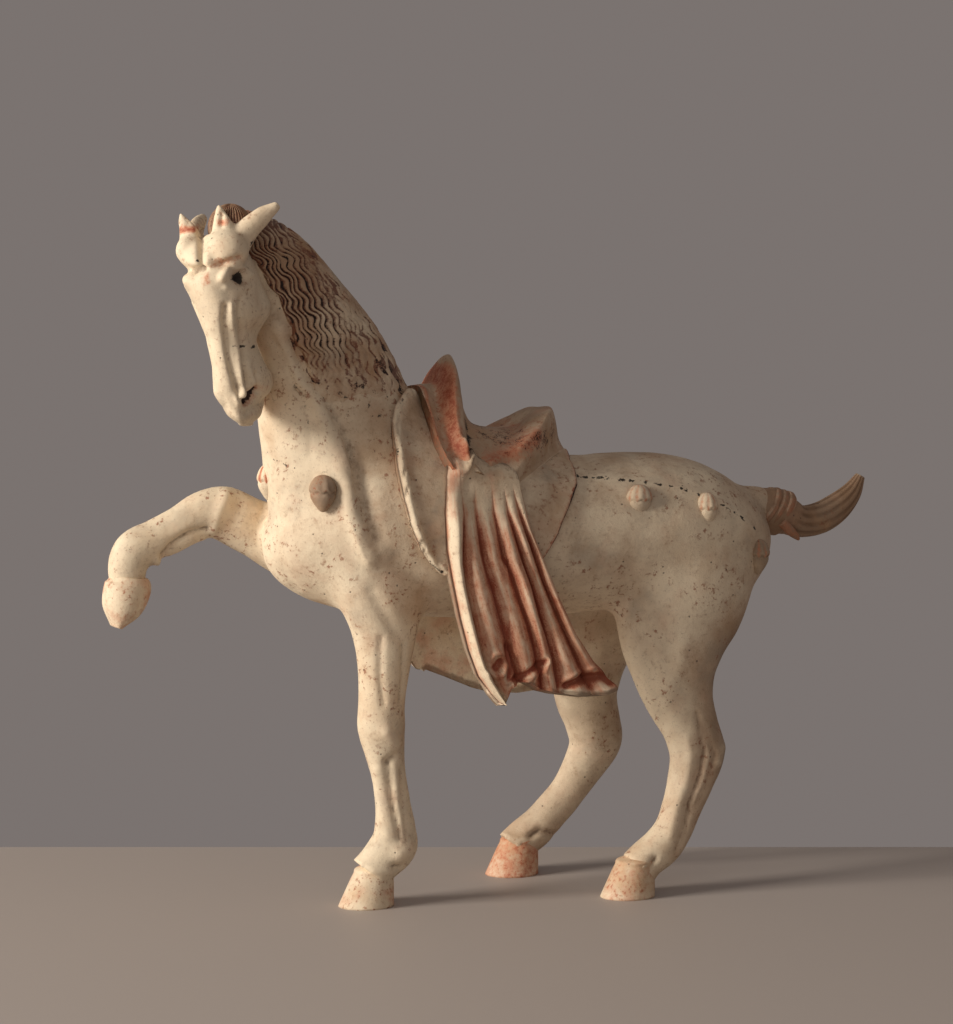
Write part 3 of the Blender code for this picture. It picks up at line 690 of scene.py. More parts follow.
headRed = [
    ([(-180.3, 509), (-176, 509.3)], 0.7, 3.0), ([(-180.3, 515.5)], 0.6, 2.2),
    ([(-162.8, 380), (-156, 389)], 0.7, 2.8), ([(-151, 391)], 0.25, 5.0), ([(-156, 371)], 0.2, 6.5),
]
headBlack = [
    ([(-166.5, 470)], 1.0, 2.9), ([(-170, 472), (-165, 467)], 0.35, 1.8), ([(-167.5, 474), (-166, 464)], 0.4, 1.8),
    ([(-172, 468), (-169, 468.5)], 0.6, 1.0), ([(-162.5, 381.5), (-156, 389)], 1.2, 2.3),
    ([(-172, 421.4), (-171, 421.4)], 0.75, 1.2), ([(-165, 421), (-164, 421)], 0.9, 1.5),
    ([(-159.2, 419.7)], 0.95, 1.9), ([(-156.1, 421.4)], 0.95, 1.5), ([(-157.5, 493), (-157, 485)], 0.9, 2.8),
    ([(-152.2, 442.7)], 0.6, 1.5),
]

# Lines that the head's two halves don't share, drawn in the same picture: the crease under the parted forelock
# and the cleft in it
frontStrokes = [
    ([(-198, 474.5), (-192.6, 475.6), (-187.4, 478.2), (-176.8, 480), (-166.3, 483.6)], -2.8, 2.4),
    ([(-194.4, 501), (-193.5, 489), (-192.6, 478)], -4.0, 2.8), ([(-202.3, 466.7)], 1.6, 4.0),
]
frontRed = [
    ([(-209, 502.5), (-200, 503.5)], 0.95, 2.6), ([(-188.7, 470), (-189, 467)], 0.5, 3.4),
    ([(-202, 466)], 0.35, 2.5), ([(-186, 480.5), (-176.8, 481), (-166.3, 483)], 0.42, 3.6),
    ([(-184, 489), (-172, 497)], 0.22, 5.0),
]
frontBlack = [
    ([(-196.3, 481.8)], 0.75, 1.8), ([(-185, 479.5), (-178, 480.5)], 0.4, 1.5),
    ([(-170, 481.5), (-165, 483)], 0.45, 1.5),
]

viewTurn = math.radians(headView["turn"])
pictureRight = np.array([math.cos(viewTurn), -math.sin(viewTurn)])
towardsEye = np.array([-math.sin(viewTurn), -math.cos(viewTurn)])


def fittedOutline(points):
    # Shifts the head's points sideways in the picture, so that at each height its two edges lie on the outlines
    sideways = np.append(pictureRight, 0)
    across, z = points @ sideways, points[:, 2]
    heights = np.arange(*headView["bands"])
    bands = [across[abs(z - height) < headView["bandReach"]] for height in heights]
    farEdge, nearEdge = (np.interp(z, heights, [edge(band) for band in bands]) for edge in (np.min, np.max))
    fading = ease(*headView["fitFrom"], z)
    farShift = (onLine(z, headView["farOutline"]) - farEdge) * ease(*headView["farUpTo"], z) * fading
    nearShift = (onLine(z, headView["nearOutline"]) - nearEdge) * ease(*headView["nearUpTo"], z) * fading
    share = ease(0, 1, (across - farEdge) / (nearEdge - farEdge))
    return points + (farShift * (1 - share) + nearShift * share)[:, None] * sideways


def seenFromSide(points, normals):
    # Places on the near side's picture, for both halves of the head, and how squarely each point faces it
    middle = np.stack(headMiddle(points[:, 2]), 1)
    forward, leftward = (way[:2] for way in headingWays(headRows["heading"]))
    offset = points[:, :2] - middle
    side = np.where(offset @ leftward < 0, -1.0, 1.0)
    across = middle @ pictureRight + (offset @ forward) * (forward @ pictureRight)
    across += abs(offset @ leftward) * (leftward @ pictureRight)
    facing = (normals[:, :2] @ forward) * (forward @ towardsEye)
    facing += side * (normals[:, :2] @ leftward) * (leftward @ towardsEye)
    return np.stack([across, points[:, 2]], 1), (0.7 + 0.3 * side) * ease(-0.05, 0.3, facing)


def seenFromFront(points, normals):
    # The same picture, without mirroring the far half
    facing = ease(-0.45, 0.1, normals[:, :2] @ towardsEye)
    return np.stack([points[:, :2] @ pictureRight, points[:, 2]], 1), facing


points = relaxed(fittedOutline(points), edges, 1.0, headRows["fitRounds"])
writeMesh(headMesh, relaxed(points, edges, ease(*headRows["chin"], points[:, 2]), headRows["chinRounds"]))
points, normals, edges = readMesh(headMesh)
sidePlaces, sideFacing = seenFromSide(points, normals)
frontPlaces, frontFacing = seenFromFront(points, normals)


def headCarving(sideLines, frontLines):
    return carving(sidePlaces, sideLines) * sideFacing + carving(frontPlaces, frontLines) * frontFacing


worked = headCarving(headStrokes, frontStrokes)
worked += 0.7 * (speckled(points[:, 0] - points[:, 1], points[:, 2], 9, 4) - 0.5)
writeMesh(headMesh, points + normals * worked[:, None])
marks = {
    "hollow": hollowness(headMesh, headRows["hollowRounds"]),
    "stain": 1.3 * carving(sidePlaces, [([(-168, 471), (-165, 466)], 1.0, 4.2)]) * sideFacing,
    "red": headCarving(headRed, frontRed), "black": headCarving(headBlack, frontBlack),
}
piece("head", headMesh, clay["head"], marks)


def gridPiece(name, skin, material, hollowRounds=8, **marks):
    # A piece from a grid skin, with its hollows measured; a mark is one value, or one for each of the grid's points
    mesh = meshOf(name, outwards(skin))
    painted = {mark: np.zeros(len(mesh.vertices)) for mark in ("stain", "red", "black", *marks)}
    for mark, values in marks.items():
        painted[mark][:np.size(values) if np.ndim(values) else None] = np.ravel(values)
    return piece(name, mesh, material, {"hollow": hollowness(mesh, hollowRounds), **painted})


# Combed hair between the ears

crown = {
    "place": (2, 12, 504), "radii": (14, 16.5, 17.5), "rows": 60, "around": 240, "strands": 40, "depth": 1.0,
    "swirl": 1.5, "swirlHeight": 4,
}


def awayFrom(rings, centre):
    # Level steps from a centre to each point of the rings, and their directions
    level = rings[..., :2] - np.array(centre)[:2]
    return level, level / np.linalg.norm(level, axis=2)[..., None]


centre = headPlace(*crown["place"])
rings = ballRings(centre, crown["radii"], headRows["heading"], crown["rows"], crown["around"])
swirl = crown["swirl"] * np.sin(rings[..., 2] / crown["swirlHeight"])
strands = 0.5 + 0.5 * np.cos(crown["strands"] * turns(crown["around"])[None] + swirl)
rings[..., :2] -= awayFrom(rings, centre)[1] * (crown["depth"] * strands)[..., None]
marks = {"stain": 1.2, "red": 0.6 + 0.5 * strands, "black": 0.55 * strands}
gridPiece("crown_hair", ringSkin(rings), clay["mane"], 4, **marks)

# Combed mane

mane = {
    "steps": 60, "around": 360, "lowest": 0.3, "highest": 0.02, "farDegrees": 24, "nearDegrees": 150,
    "stand": 4.5, "depth": 2.4, "wave": 1.6, "waveLength": 13.5, "sunk": -2.5, "buried": 8, "neckRadius": 45,
    "border": [(345, -129), (380, -142), (394, -144.5), (406, -147), (418, -153), (436, -160), (451, -168),
               (464, -176),
               (480, -186), (490, -198), (504, -206)],
    "locks": ([0, 18, 40, 90], [0, 5, 9.5, 17]), "lean": 0.8, "ragged": 3.0, "edge": 3.5, "worn": (20, 50),
    "bottom": 396,
}
rings = limbRings(neck, mane["steps"], mane["around"])
rings = rings[int(mane["lowest"] * len(rings)):-int(mane["highest"] * len(rings))]
middle = rings.mean(1)[:, None]
rings = np.concatenate([rings[:, -mane["farDegrees"]:], rings[:, :mane["nearDegrees"]]], 1)
aroundNeck = np.radians(np.arange(rings.shape[1]))[None] * mane["neckRadius"]
out = rings - middle
out /= np.linalg.norm(out, axis=2)[..., None]
x, z = rings[..., 0], rings[..., 2]
ragged = mane["ragged"] * (speckled(x, z, 7, 11) - 0.5)
inward = (x - onLine(z, mane["border"])) * mane["lean"] + ragged
wavy = mane["wave"] * np.sin(2 * math.pi * z / mane["waveLength"] + 2.2 * speckled(x, z, 30, 12))
lock = np.interp(inward / mane["lean"] + wavy, *mane["locks"])
groove = (0.5 + 0.5 * np.cos(2 * math.pi * lock)) ** 1.6
covered = ease(0, mane["edge"], inward) * ease(mane["bottom"] - 16, mane["bottom"] + 26, z + 4 * ragged)
worn = ease(*mane["worn"], inward) * 0.92
broken = ease(0.35, 0.6, speckled(x + 0.4 * z, z, 5, 13) * 0.6 + speckled(x, z, 12, 14) * 0.4 + 0.25 * (1 - worn))
dashes = speckled(aroundNeck + wavy, 0.4 * z, 2.1, 17) * 0.8 + speckled(x, z, 14, 18) * 0.2
dashes = ease(0.48, 0.62, dashes)
relief = np.maximum(groove * (1 - worn), 0.6 * dashes * worn) * ease(0, 6, inward)
shown = ease(0, mane["edge"], inward) * ease(mane["bottom"] - 24, mane["bottom"] - 12, z + 2 * ragged)
stand = mane["sunk"] * (1 - shown) + mane["stand"] * covered * (1 - 0.35 * worn)
outer = rings + out * (stand - mane["depth"] * relief * covered)[..., None]
stipple = 1.2 * dashes * ease(mane["bottom"] - 30, mane["bottom"] + 4, z)
painted = np.maximum(groove * 1.15 * (1 - 0.8 * worn) * broken, 1.3 * dashes * worn) + 0.75 * bell(inward, 3)
painted = painted * covered + stipple * (1 - covered)
painted += (0.45 * ease(0.35, 0.7, speckled(x, z, 16, 16)) * (1 - 0.5 * worn) + 0.5 * ease(494, 504, z)) * covered
dark = np.maximum(0.7 * groove * (1 - 0.8 * worn) * covered, 0.62 * dashes * np.maximum(worn, 0.9 * (1 - covered)))
dark *= 0.5 + 0.6 * broken
marks = {"stain": 0.25 + (0.4 - 0.15 * worn) * covered, "red": painted, "black": dark}
gridPiece("mane", reliefSkin(outer, rings - out * mane["buried"]), clay["mane"], 4, **marks)


def barrelMiddle(x):
    rows = np.asarray(trunk, float)
    return np.interp(x, rows[:, 0], rows[:, 2])


def sampledRadius(mesh, fromX, toX, toDegrees, step=3.0):
    # How far the body's skin lies from the barrel's middle line, by rays on a grid of x and angle
    tree = BVHTree.FromPolygons([tuple(v.co) for v in mesh.vertices], [tuple(p.vertices) for p in mesh.polygons])
    stations = np.arange(fromX, toX + step, step)
    turns = np.arange(-toDegrees, toDegrees + step, step)
    table = np.empty((len(stations), len(turns)))
    for i, x in enumerate(stations):
        start = Vector(toWorld((x, 0, float(barrelMiddle(x)))).tolist())
        for j, turn in enumerate(np.radians(turns)):
            table[i, j] = tree.ray_cast(start, (0, -math.sin(turn), math.cos(turn)))[3] / mm
    for _ in range(3):
        padded = np.pad(table, 1, "edge")
        table = (padded[2:, 1:-1] + padded[:-2, 1:-1] + padded[1:-1, 2:] + padded[1:-1, :-2] + 2 * table) / 6
    return stations, turns, table


skinRadius = sampledRadius(bodyMesh, -100, 212, 120)


def barrelPoint(x, angle, proud):
    # A point on the body at x, where angle 0 is the spine and a quarter turn the left flank, standing proud of it
    stations, turns, table = skinRadius
    row = np.clip((x - stations[0]) / (stations[1] - stations[0]), 0, len(stations) - 1.001)
    column = np.clip((np.degrees(angle) - turns[0]) / (turns[1] - turns[0]), 0, len(turns) - 1.001)
    i, j = row.astype(int), column.astype(int)
    s, t = row - i, column - j
    near = table[i, j] * (1 - t) + table[i, j + 1] * t
    far = table[i + 1, j] * (1 - t) + table[i + 1, j + 1] * t
    radius = near * (1 - s) + far * s + proud
    return np.stack([x + 0 * radius, -radius * np.sin(angle), barrelMiddle(x) + radius * np.cos(angle)], -1)


def spread(cover):
    # The grid of a cover over the back: v from flank to flank, u from its front edge to its rear edge, places along
    # the barrel, angles round it, and the length from edge to edge
    v, u = uvGrid(-1, cover["rows"], cover["columns"])
    degrees = abs(v) * cover["reach"]
    front = np.interp(degrees, *cover["front"])
    length = np.interp(degrees, *cover["rear"]) - front
    return v, u, front + length * u, np.radians(cover["reach"]) * v, length


# Saddle blanket, from one flank over the back to the other

blanket = {
    "rows": 281, "columns": 121, "thick": 4.5, "rim": 3.5, "rimWidth": 3.6, "rimIn": 4, "sunk": -8, "chip": 1.6,
    "reach": 118, "flankLength": 115,
    "front": ([0, 10, 17, 26, 32, 57, 73, 90, 105, 112, 118],
              [-50, -58, -67, -78, -82, -83, -81, -76, -68, -61, -52]),
    "rear": ([0, 25, 39, 51, 66, 77, 86, 94, 112, 118], [74, 65, 64, 61, 51, 43, 38, 32, 18, 12]),
}
v, u, x, angle, length = spread(blanket)
frontEdge = np.minimum(u * length, (1 - abs(v)) * blanket["flankLength"])
rearEdge = (1 - u) * length
rim = frontEdge - blanket["rimIn"]
proud = blanket["thick"] * ease(-1, 2, rearEdge) + blanket["rim"] * bell(rim, blanket["rimWidth"])
chips = speckled(x + 30 * v, 60 * v, 3.0, 19)
proud -= blanket["chip"] * ease(0.62, 0.8, chips) * bell(frontEdge - 3, 4.0)
skin = reliefSkin(barrelPoint(x, angle, proud), barrelPoint(x, angle, blanket["sunk"]))
marks = {
    "stain": 0.45 - 0.75 * bell(rim, 3.5),
    "red": 0.95 * bell(rearEdge - 1, 2.6) + 0.45 * bell(frontEdge, 1.5),
    "black": 0.75 * bell(rearEdge - 0.5, 1.6) + 0.6 * ease(0.7, 0.8, chips) * bell(frontEdge - 2, 3.0),
}
gridPiece("saddle_blanket", skin, clay["blanket"], 8, **marks)

# Saddle under its cover, which is drawn together at a knot on each flank

saddle = {
    "rows": 241, "columns": 201, "thick": 8.0, "sunk": -6, "reach": 58, "spineFrom": -48, "spineLength": 120,
    "spine": [(-48, 386), (-42, 387), (-36, 387.5), (-33, 390), (-29, 400), (-25.5, 407), (-22.5, 408.8),
              (-20, 407), (-17.5, 399), (-15.5, 387), (-12, 370), (-7, 359), (1, 355), (16, 353), (30, 354),
              (38, 360), (45, 365.5), (53, 368), (60, 367), (64, 357), (66, 346), (72, 337)],
    "front": ([0, 15, 40, 50, 58], [-48, -51, -51, -48, -44]),
    "rear": ([0, 10, 22, 35, 48, 58], [72, 66, 54, 40, 24, 10]),
    "strokes": {
        "coverEdge": ([(-47, 388), (-50, 374), (-51, 358), (-51, 345), (-48, 335), (-44, 328)], 3.2, 2.4),
        "coverValley": ([(-38, 388), (-42, 372), (-44, 355), (-43, 343), (-38, 335)], -3.5, 3.6),
        "pommelRidge": ([(-20, 407), (-26, 394), (-31, 380), (-34, 364), (-34, 352), (-31, 342)], 3.0, 3.0),
        "pommelFoot": ([(-11, 392), (-15, 378), (-20, 366), (-24, 352), (-24, 338)], -4.0, 4.5),
        "spikeFold": ([(-32, 345), (-29, 333), (-23, 322)], 4.5, 3.2),
        "cantleRidge": ([(57, 367), (43, 359), (28, 350), (14, 342), (-2, 336), (-12, 331)], 3.4, 3.0),
        "seatHollow": ([(40, 350), (20, 338), (0, 331)], -3.0, 9.0),
        "skirtEdge": ([(66, 338), (52, 331), (36, 327), (20, 324), (8, 320)], 1.0, 2.6),
    },
    "red": [([(-30, 398), (-36, 370), (-39, 348), (-33, 338)], 0.85, 5.5),
            ([(30, 350), (8, 339), (-14, 334)], 0.5, 6.0)],
    "black": [([(-13, 392), (-19, 370), (-25, 345)], 0.5, 3.5)],
    "seat": ([(-8, 352), (20, 345), (48, 350)], 0.55, 15), "edgeRed": (0.7, 2.0),
}
v, u, x, angle, length = spread(saddle)
side = abs(v)
rearDistance = length * (1 - u)
under = blanket["thick"] - 1 + (saddle["thick"] + 1) * ease(0, 13, rearDistance)
spineX = saddle["spineFrom"] + saddle["spineLength"] * u
rise = onLine(spineX, smoothRows(saddle["spine"], 6)) - barrelPoint(spineX, 0 * u, 0)[..., 2] - under
towardsRear = ease(0.35, 0.6, u)
fading = np.exp(-(side / 0.45) ** 1.6) * (1 - side) ** 0.15 * (1 - towardsRear) + (1 - side**1.3) * towardsRear
proud = under + rise * fading * ease(-2, 11, rearDistance)
sideView = barrelPoint(x, angle, proud)[..., [0, 2]]
worked = carving(sideView, saddle["strokes"].values()) * ease(0.06, 0.25, side)
skin = reliefSkin(barrelPoint(x, angle, proud + worked), barrelPoint(x, angle, saddle["sunk"]))
seat = carving(sideView, [saddle["seat"]])
red = carving(sideView, [*saddle["red"], (saddle["strokes"]["coverEdge"][0], *saddle["edgeRed"])]) + 0.4 * seat
black = 0.95 * seat + carving(sideView, saddle["black"])
# The saddle is darkened all over by the stain-and-shade mark: brown stain with painted shade
gridPiece("saddle", skin, clay["saddle"], 12, stain=0.7, red=np.clip(red, 0, 1), black=black)

# Cloth hanging from its knot on each flank: rounded folds between grooves that fan out to the hem

cloth = {
    "top": 331, "firstHem": 157, "hemRounds": 3, "wall": 9.0, "foldPower": 0.7,
    # Lumps of the knot: height, width, x, z, how many times wider and taller, and lean
    "knot": [(4.5, 6.5, -41, 329, 1.3, 1, 0), (5, 3.2, -35, 335, 1, 4, 0.45), (-3.0, 3.5, -39, 326, 1, 2.2, 0)],
    "leftEdge": [(331, -50), (322, -54), (297, -56), (270, -55), (252, -52), (221, -46), (197, -40), (178, -33),
                 (165, -24), (156, -15)],
    "grooves": [
        [(331, -45), (313, -43), (297, -42), (279, -43.5), (261, -44.5), (242, -42), (224, -38), (206, -34),
         (185, -29), (168, -19), (156, -13.5)],
        [(331, -31), (306, -33), (290, -32), (268, -29.5), (255, -26.5), (240, -21.5), (223, -17), (207, -12.5),
         (194, -10), (180, -5), (156, 0)],
        [(331, -20), (296, -18.5), (280, -16), (263, -13), (248, -6), (232, -1), (213, 5.5), (198, 9.5), (180, 13),
         (156, 17)],
        [(331, -12), (296, -8), (274, -2), (259, 2.5), (241, 9), (220, 14.5), (202, 20.5), (187, 24.5), (172, 27),
         (156, 29)],
        [(331, -5), (308, -2), (285, 4), (267, 10), (244, 18), (222, 27.5), (199, 37.5), (179, 47), (156, 57)],
    ],
    "rightEdge": [(331, 2), (314, 3), (300, 6), (283, 10), (259, 20), (231, 31.5), (206, 43.5), (184, 58),
                  (166, 75), (156, 80)],
    "foldHeights": [11.0, 9.0, 8.0, 9.5, 8.5, 8.0],
    "rollOver": ([0, 0.025, 0.06, 0.12, 0.4, 1], [58, 66, 70, 72, 75, 80]),
    "topEdge": [(-57, 330), (-51, 335), (-45, 339), (-37, 338), (-31, 343), (-26, 337), (-10, 333), (0, 330),
                (6, 325)],
    "nearHem": [(-56, 158), (-13, 157), (-10, 168), (-4, 173), (3, 173), (13, 167), (24, 164), (36, 162),
                (48, 160), (64, 160), (77, 163)],
    "farHem": [(-56, 138), (-30, 150), (-16, 165), (-1, 159), (22, 149), (36, 145), (60, 143), (80, 145)],
    "hemStrokes": [
        ([(-17.5, 194), (-23.5, 194), (-28, 188.5), (-27.5, 181.5), (-22, 177), (-16, 179),
          (-13.5, 185.5)], 3.8, 2.5), ([(-18.5, 189), (-21, 184.5)], -4.5, 2.6),
        ([(-11.5, 199), (-10.5, 187), (-11.5, 176)], -3.4, 2.2),
        ([(-8, 175), (0, 178), (7, 182.5), (17, 187)], -3.8, 1.9),
        ([(-6, 170.5), (5, 175), (16, 180), (20, 188)], 2.8, 2.4),
        ([(29, 170.5), (43, 178), (58, 180.5), (71, 175)], 2.2, 2.0),
        ([(34, 169), (47, 173), (61, 174), (70, 170)], -6.5, 3.0),
        ([(30, 163), (48, 162.5), (64, 163), (76, 165)], 2.6, 2.2),
    ],
}


def clothGrids(hemLine, rows, columns):
    # v runs down from the knot to the hem and u across; between each two lines a fold stands out as sin(pi s)^0.7
    v, u = uvGrid(0, rows, columns)
    lines = [cloth["leftEdge"], *cloth["grooves"], cloth["rightEdge"]]
    folds = len(cloth["foldHeights"])
    gap = np.clip((u * folds).astype(int), 0, folds - 1)
    s = u * folds - gap
    z = cloth["top"] - (cloth["top"] - cloth["firstHem"]) * v
    for _ in range(cloth["hemRounds"]):
        edges = np.stack([onLine(z, line[::-1]) for line in lines])
        low = np.take_along_axis(edges, gap[None], 0)[0]
        high = np.take_along_axis(edges, gap[None] + 1, 0)[0]
        x = low + (high - low) * s
        z = cloth["top"] - (cloth["top"] - onLine(x, hemLine)) * v
    wave = np.sin(np.pi * s) ** cloth["foldPower"]
    z = z + (onLine(x, cloth["topEdge"]) - cloth["top"]) * (1 - ease(0, 0.14, v))
    rolled = np.interp(v, *cloth["rollOver"])
    height = np.asarray(cloth["foldHeights"])[gap] * np.where(gap == 0, ease(0.02, 0.3, v), ease(0.08, 0.4, v))
    sway = 1.2 * np.sin(9 * v + 3 * gap)
    lumps = 0
    for high, width, knotX, knotZ, wide, tall, lean in cloth["knot"]:
        lumps += high * bell(np.hypot((x - knotX - lean * (z - knotZ)) / wide, (z - knotZ) / tall), width)
    y = rolled + height * wave + sway * ease(0.2, 0.5, v) * wave + lumps
    return x, y, rolled - cloth["wall"] * (1.6 - 0.6 * v), z, wave, v, 14 * (gap + s)


for flankName, flank, shift, rows, columns in (("near", 1, 5.5, 171, 187), ("far", -1, 0.0, 101, 121)):
    hemLine = cloth[flankName + "Hem"]
    x, y, inside, z, wave, v, across = clothGrids(hemLine, rows, columns)
    curled = carving(np.stack([x, z], -1), cloth["hemStrokes"]) * (flank > 0)
    left = bell(x - onLine(z, cloth["leftEdge"][::-1]) - 4, 6)
    rim = ease(20, 34, x) * bell(z - onLine(x, hemLine) - 1, 3.5)
    red = (0.8 * (1 - wave) * ease(0.03, 0.25, v) + 0.5 * ease(0.1, 0.35, v)) * (1 - 0.95 * left) * (1 - 0.8 * rim)
    red = red * (0.7 + 0.3 * flank) + 0.25 * np.clip(-curled, 0, 3) + 0.4 * left * ease(0.34, 0.1, v)
    outer = np.stack([x + shift, -flank * (y + curled), z], -1)
    inner = np.stack([x + shift, -flank * inside, z - 3 * ease(0.9, 1, v)], -1)
    marks = {"stain": 0.3 + 0.6 * ease(0.28, 0.12, v) * (1 - left), "red": red, "across": across, "down": z}
    gridPiece(f"{flankName}_cloth", slabSkin(outer, inner), clay["cloth"], 14, **marks)

# Hooves

hooves = {
    "left_fore_hoof": (-93, -15, 0.15), "left_hind_hoof": (103, -50, 0.25), "right_hind_hoof": (51, 60, 0.55),
}
hoofRows = [(30, 9, 9.5), (27.5, 14.5, 14.5), (24, 15, 14.5), (19, 16.5, 15.5), (0, 21, 19)]
hoofLean = 0.24
for name, (x, y, painted) in hooves.items():
    stations = [(x + hoofLean * z, y, z, length, width) for z, length, width in hoofRows]
    gridPiece(name, ringSkin(levelRings(stations, 0, 12, 80)), clay["hoof"], stain=0.3, red=painted)
raisedHoof = [(-256, 48, 246, 14, 14), (-257, 48, 238, 17.5, 17), (-262, 48, 222, 14.5, 17), (-266, 48, 209, 4, 10)]
gridPiece("raised_hoof", ringSkin(limbRings(raisedHoof, 16, 80)), clay["hoof"], stain=0.2, red=0.2)

# Tail and its ribbon

tail = [
    (226, 0, 287, 14, 13.5), (232, 0, 286, 15.5, 15), (238, 0, 284, 18, 17),
    (250, 0, 281, 18, 17), (257, 0, 278, 14.5, 13.5), (268, 0, 274, 12.5, 12), (284, 0, 276, 12.5, 11.5),
    (299, 0, 284, 11.5, 9.5), (311, 0, 295, 8.5, 7), (319, 0, 308, 4, 3.5),
]
tailLook = {"steps": 12, "around": 96, "strands": 11, "depth": 0.055, "strandsFrom": (48, 60)}
ribbon = {"turns": 3, "start": (238, 284.5), "pitch": 6, "drop": 1.2}
rings = limbRings(tail, tailLook["steps"], tailLook["around"])
middle = rings.mean(1)[:, None]
row = np.arange(len(rings))[:, None]
strands = np.cos(tailLook["strands"] * turns(tailLook["around"])[None] + 0.06 * row + 0.6 * np.sin(0.08 * row))
strands = (0.5 + 0.5 * strands) ** 2 * ease(*tailLook["strandsFrom"], row)
rings = middle + (rings - middle) * (1 - tailLook["depth"] * strands)[..., None]
# The tail and its ribbon are darkened by the stain-and-shade mark: brown stain with painted shade, as they face
# away from the light; the tail's mark also runs higher in the grooves between its strands
gridPiece("tail", ringSkin(rings), clay["tail"], 4, stain=1.1 + 0.8 * strands, black=0.3 * strands)
for k in range(ribbon["turns"]):
    x, z = ribbon["start"][0] + ribbon["pitch"] * k, ribbon["start"][1] - ribbon["drop"] * k
    coil = [(x - 3, -1, z + 2, 17, 16), (x, 0, z, 19.5 - 0.7 * k, 18.5 - 0.6 * k), (x + 3, 1, z - 2, 17, 16)]
    gridPiece(f"tail_ribbon_{k + 1}", ringSkin(limbRings(coil, 6, 64)), clay["tail"], stain=1.5, red=0.35)
ribbonEnd = [(245, -14, 276, 4, 4), (252, -14, 269, 3.8, 3.5), (258, -13, 264, 2.6, 2.4), (261, -12, 261, 1, 1)]
gridPiece("tail_ribbon_end", ringSkin(limbRings(ribbonEnd, 12, 48)), clay["tail"], stain=1.2, red=0.5)

# Harness pendants: buds, each under a scalloped cap

pendant = {
    "wide": 9.5, "tall": 13.5, "relief": 8.0, "rows": 44, "around": 72, "sunk": -2,
    "capFrom": 0.07, "capEdge": 0.05, "petals": 9, "capRise": 1.1, "scallop": 0.07, "point": 0.3,
    # On the crupper: x, degrees round the barrel, heading, half width, half height and stain-and-shade mark; the
    # third pendant's high mark is painted shade as well as brown stain
    "crupper": ((108, 65, 0, 9.2, 12.5, 0.5), (163, 68, 14, 7.5, 13.0, 0.5), (212, 82, 50, 8.5, 13.5, 1.5)),
    "breast": (-135, 46, 312), "breastWide": 9.8, "breastHeading": 45, "middle": (-161, 4, 317),
}


def budPiece(name, centre, wide, tall, heading, finish, capRed=0.5, stain=0.2, flat=True):
    # An ellipsoid whose lower end is drawn to a point, with a cap of petals over its upper end; a flat one lies
    # along the flank, and any other across the breast
    radii = (wide, pendant["relief"], tall) if flat else (pendant["relief"], wide, tall)
    rings = ballRings(centre, radii, heading, pendant["rows"], pendant["around"])
    t = (rings[..., 2] - centre[2]) / tall
    petal = np.cos(pendant["petals"] * turns(pendant["around"])[None])
    edge = pendant["capFrom"] + pendant["scallop"] * petal
    cap = ease(edge - pendant["capEdge"], edge + pendant["capEdge"], t)
    petals = 0.45 * petal * cap * (1 - abs(t)) - 0.8 * bell(t - edge, 0.07)
    narrow = 1 - pendant["point"] * ease(-0.1, -1.0, t)
    level, away = awayFrom(rings, centre)
    rings[..., :2] += level * (narrow - 1)[..., None] + away * (pendant["capRise"] * cap + petals)[..., None]
    gridPiece(name, ringSkin(rings), clay[finish], 6, stain=stain, red=capRed * cap * (0.5 - 0.5 * petal))


for flankName, flank in (("left", -1), ("right", 1)):
    for number, (x, degrees, heading, wide, tall, stain) in enumerate(pendant["crupper"], 1):
        px, py, pz = barrelPoint(x, np.radians(degrees), pendant["sunk"])
        name = f"{flankName}_crupper_pendant_{number}"
        budPiece(name, (px, flank * py, pz), wide, tall, flank * heading, "head", 0.5, stain)
    x, y, z = pendant["breast"]
    name, heading = f"{flankName}_breast_pendant", flank * pendant["breastHeading"]
    size = (pendant["breastWide"], pendant["tall"])
    budPiece(name, (x, -flank * y, z), *size, heading, "body", 0.4, 1.5, flat=False)
budPiece("middle_breast_pendant", pendant["middle"], pendant["wide"], pendant["tall"], 0, "head", 0.9, flat=False)

# Camera, light and floor

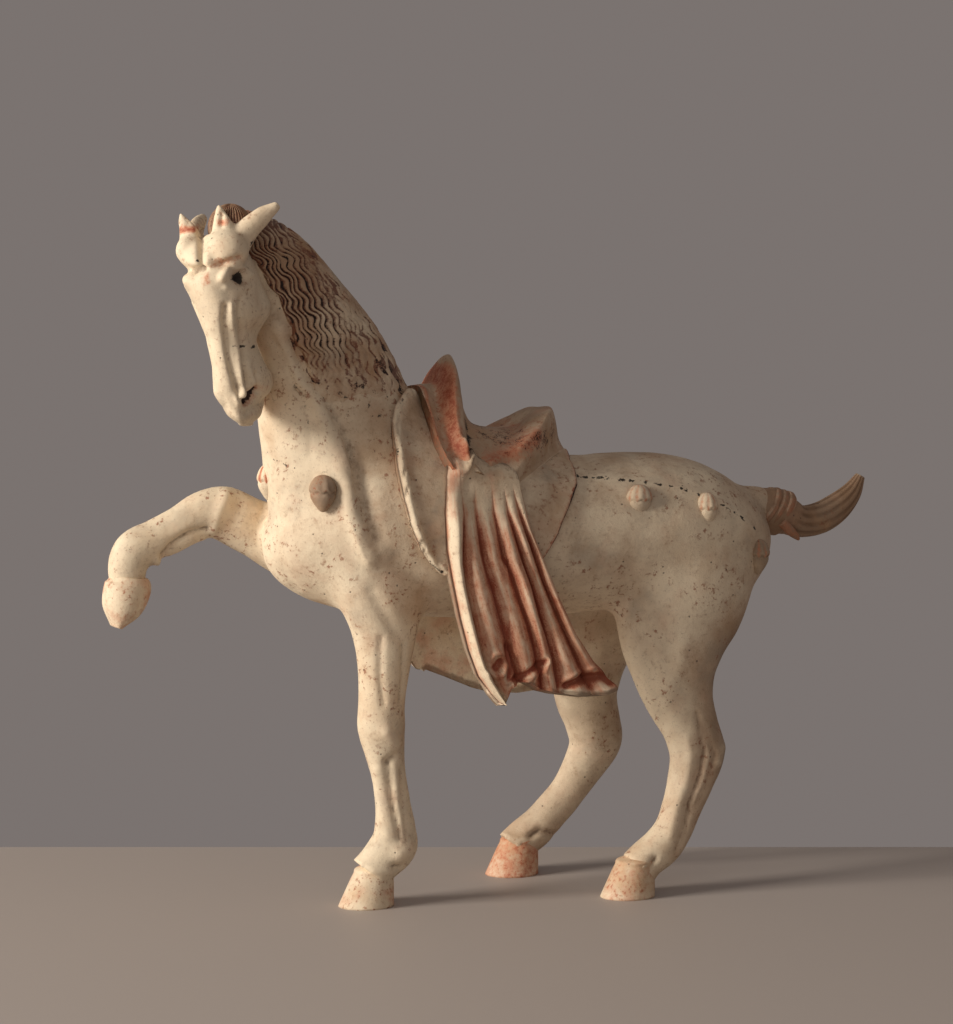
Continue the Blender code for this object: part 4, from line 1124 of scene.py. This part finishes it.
studio = {
    "turn": 20.0, "distance": 2.6, "height": 0.54, "aim": 0.29, "focal": 3466 * 36 / 1024,
    "tableBehind": 0.18, "tableReach": 3.0, "floor": tone(172, 162, 155), "floorRoughness": 0.6,
    "backdrop": tone(168, 158, 154), "backdropStrength": 0.5,
    # Lights: metres to the camera's right, towards the camera and up from the aim, size in metres, watts and colour
    "lights": {
        "key": ((-3.6, 1.7, 1.2), (1.5, 1.6), 208, (1.0, 0.93, 0.84)),
        "fill": ((-0.3, 2.2, 0.9), (1.6, 1.2), 5, (1.0, 0.96, 0.92)),
    },
}
turn = math.radians(studio["turn"])
target = Vector((origin[0], 0, studio["aim"]))
awayLevel = Vector((-math.sin(turn), -math.cos(turn), 0))
rightward = Vector((math.cos(turn), -math.sin(turn), 0))


def aimedObject(name, data, rightwards, towards, up):
    # An object placed from the aim by the camera's directions, and turned to look at it
    made = addObject(name, data)
    made.location = target + rightward * rightwards + awayLevel * towards + Vector((0, 0, up))
    made.rotation_euler = (target - made.location).to_track_quat("-Z", "Y").to_euler()
    return made


cameraData = bpy.data.cameras.new("photo_view")
cameraData.lens = studio["focal"]
rise = studio["height"] - studio["aim"]
levelDistance = math.sqrt(studio["distance"] ** 2 - rise**2)
bpy.context.scene.camera = aimedObject("photo_view", cameraData, 0, levelDistance, rise)

for name, (place, size, power, colour) in studio["lights"].items():
    light = bpy.data.lights.new(name, "AREA")
    light.shape = "RECTANGLE"
    light.size, light.size_y = size
    light.energy = power
    light.color = colour
    aimedObject(name, light, *place)

world = bpy.data.worlds.new("studio_backdrop")
world.use_nodes = True
background = world.node_tree.nodes["Background"].inputs
background["Color"].default_value = studio["backdrop"]
background["Strength"].default_value = studio["backdropStrength"]
bpy.context.scene.world = world
bpy.context.scene.view_settings.view_transform = "Standard"

floorMesh = bpy.data.meshes.new("floor")
behind, reach = -studio["tableBehind"], studio["tableReach"]
places = ((-reach, behind), (-reach, reach), (reach, reach), (reach, behind))
corners = [target + rightward * sideways + awayLevel * ahead for sideways, ahead in places]
floorMesh.from_pydata([(c.x, c.y, 0) for c in corners], [], [(0, 1, 2, 3)])
floorMaterial = bpy.data.materials.new("pale_floor")
floorMaterial.use_nodes = True
floorLook = floorMaterial.node_tree.nodes["Principled BSDF"].inputs
floorLook["Base Color"].default_value = studio["floor"]
floorLook["Roughness"].default_value = studio["floorRoughness"]
floorMesh.materials.append(floorMaterial)
floor = addObject("floor", floorMesh)
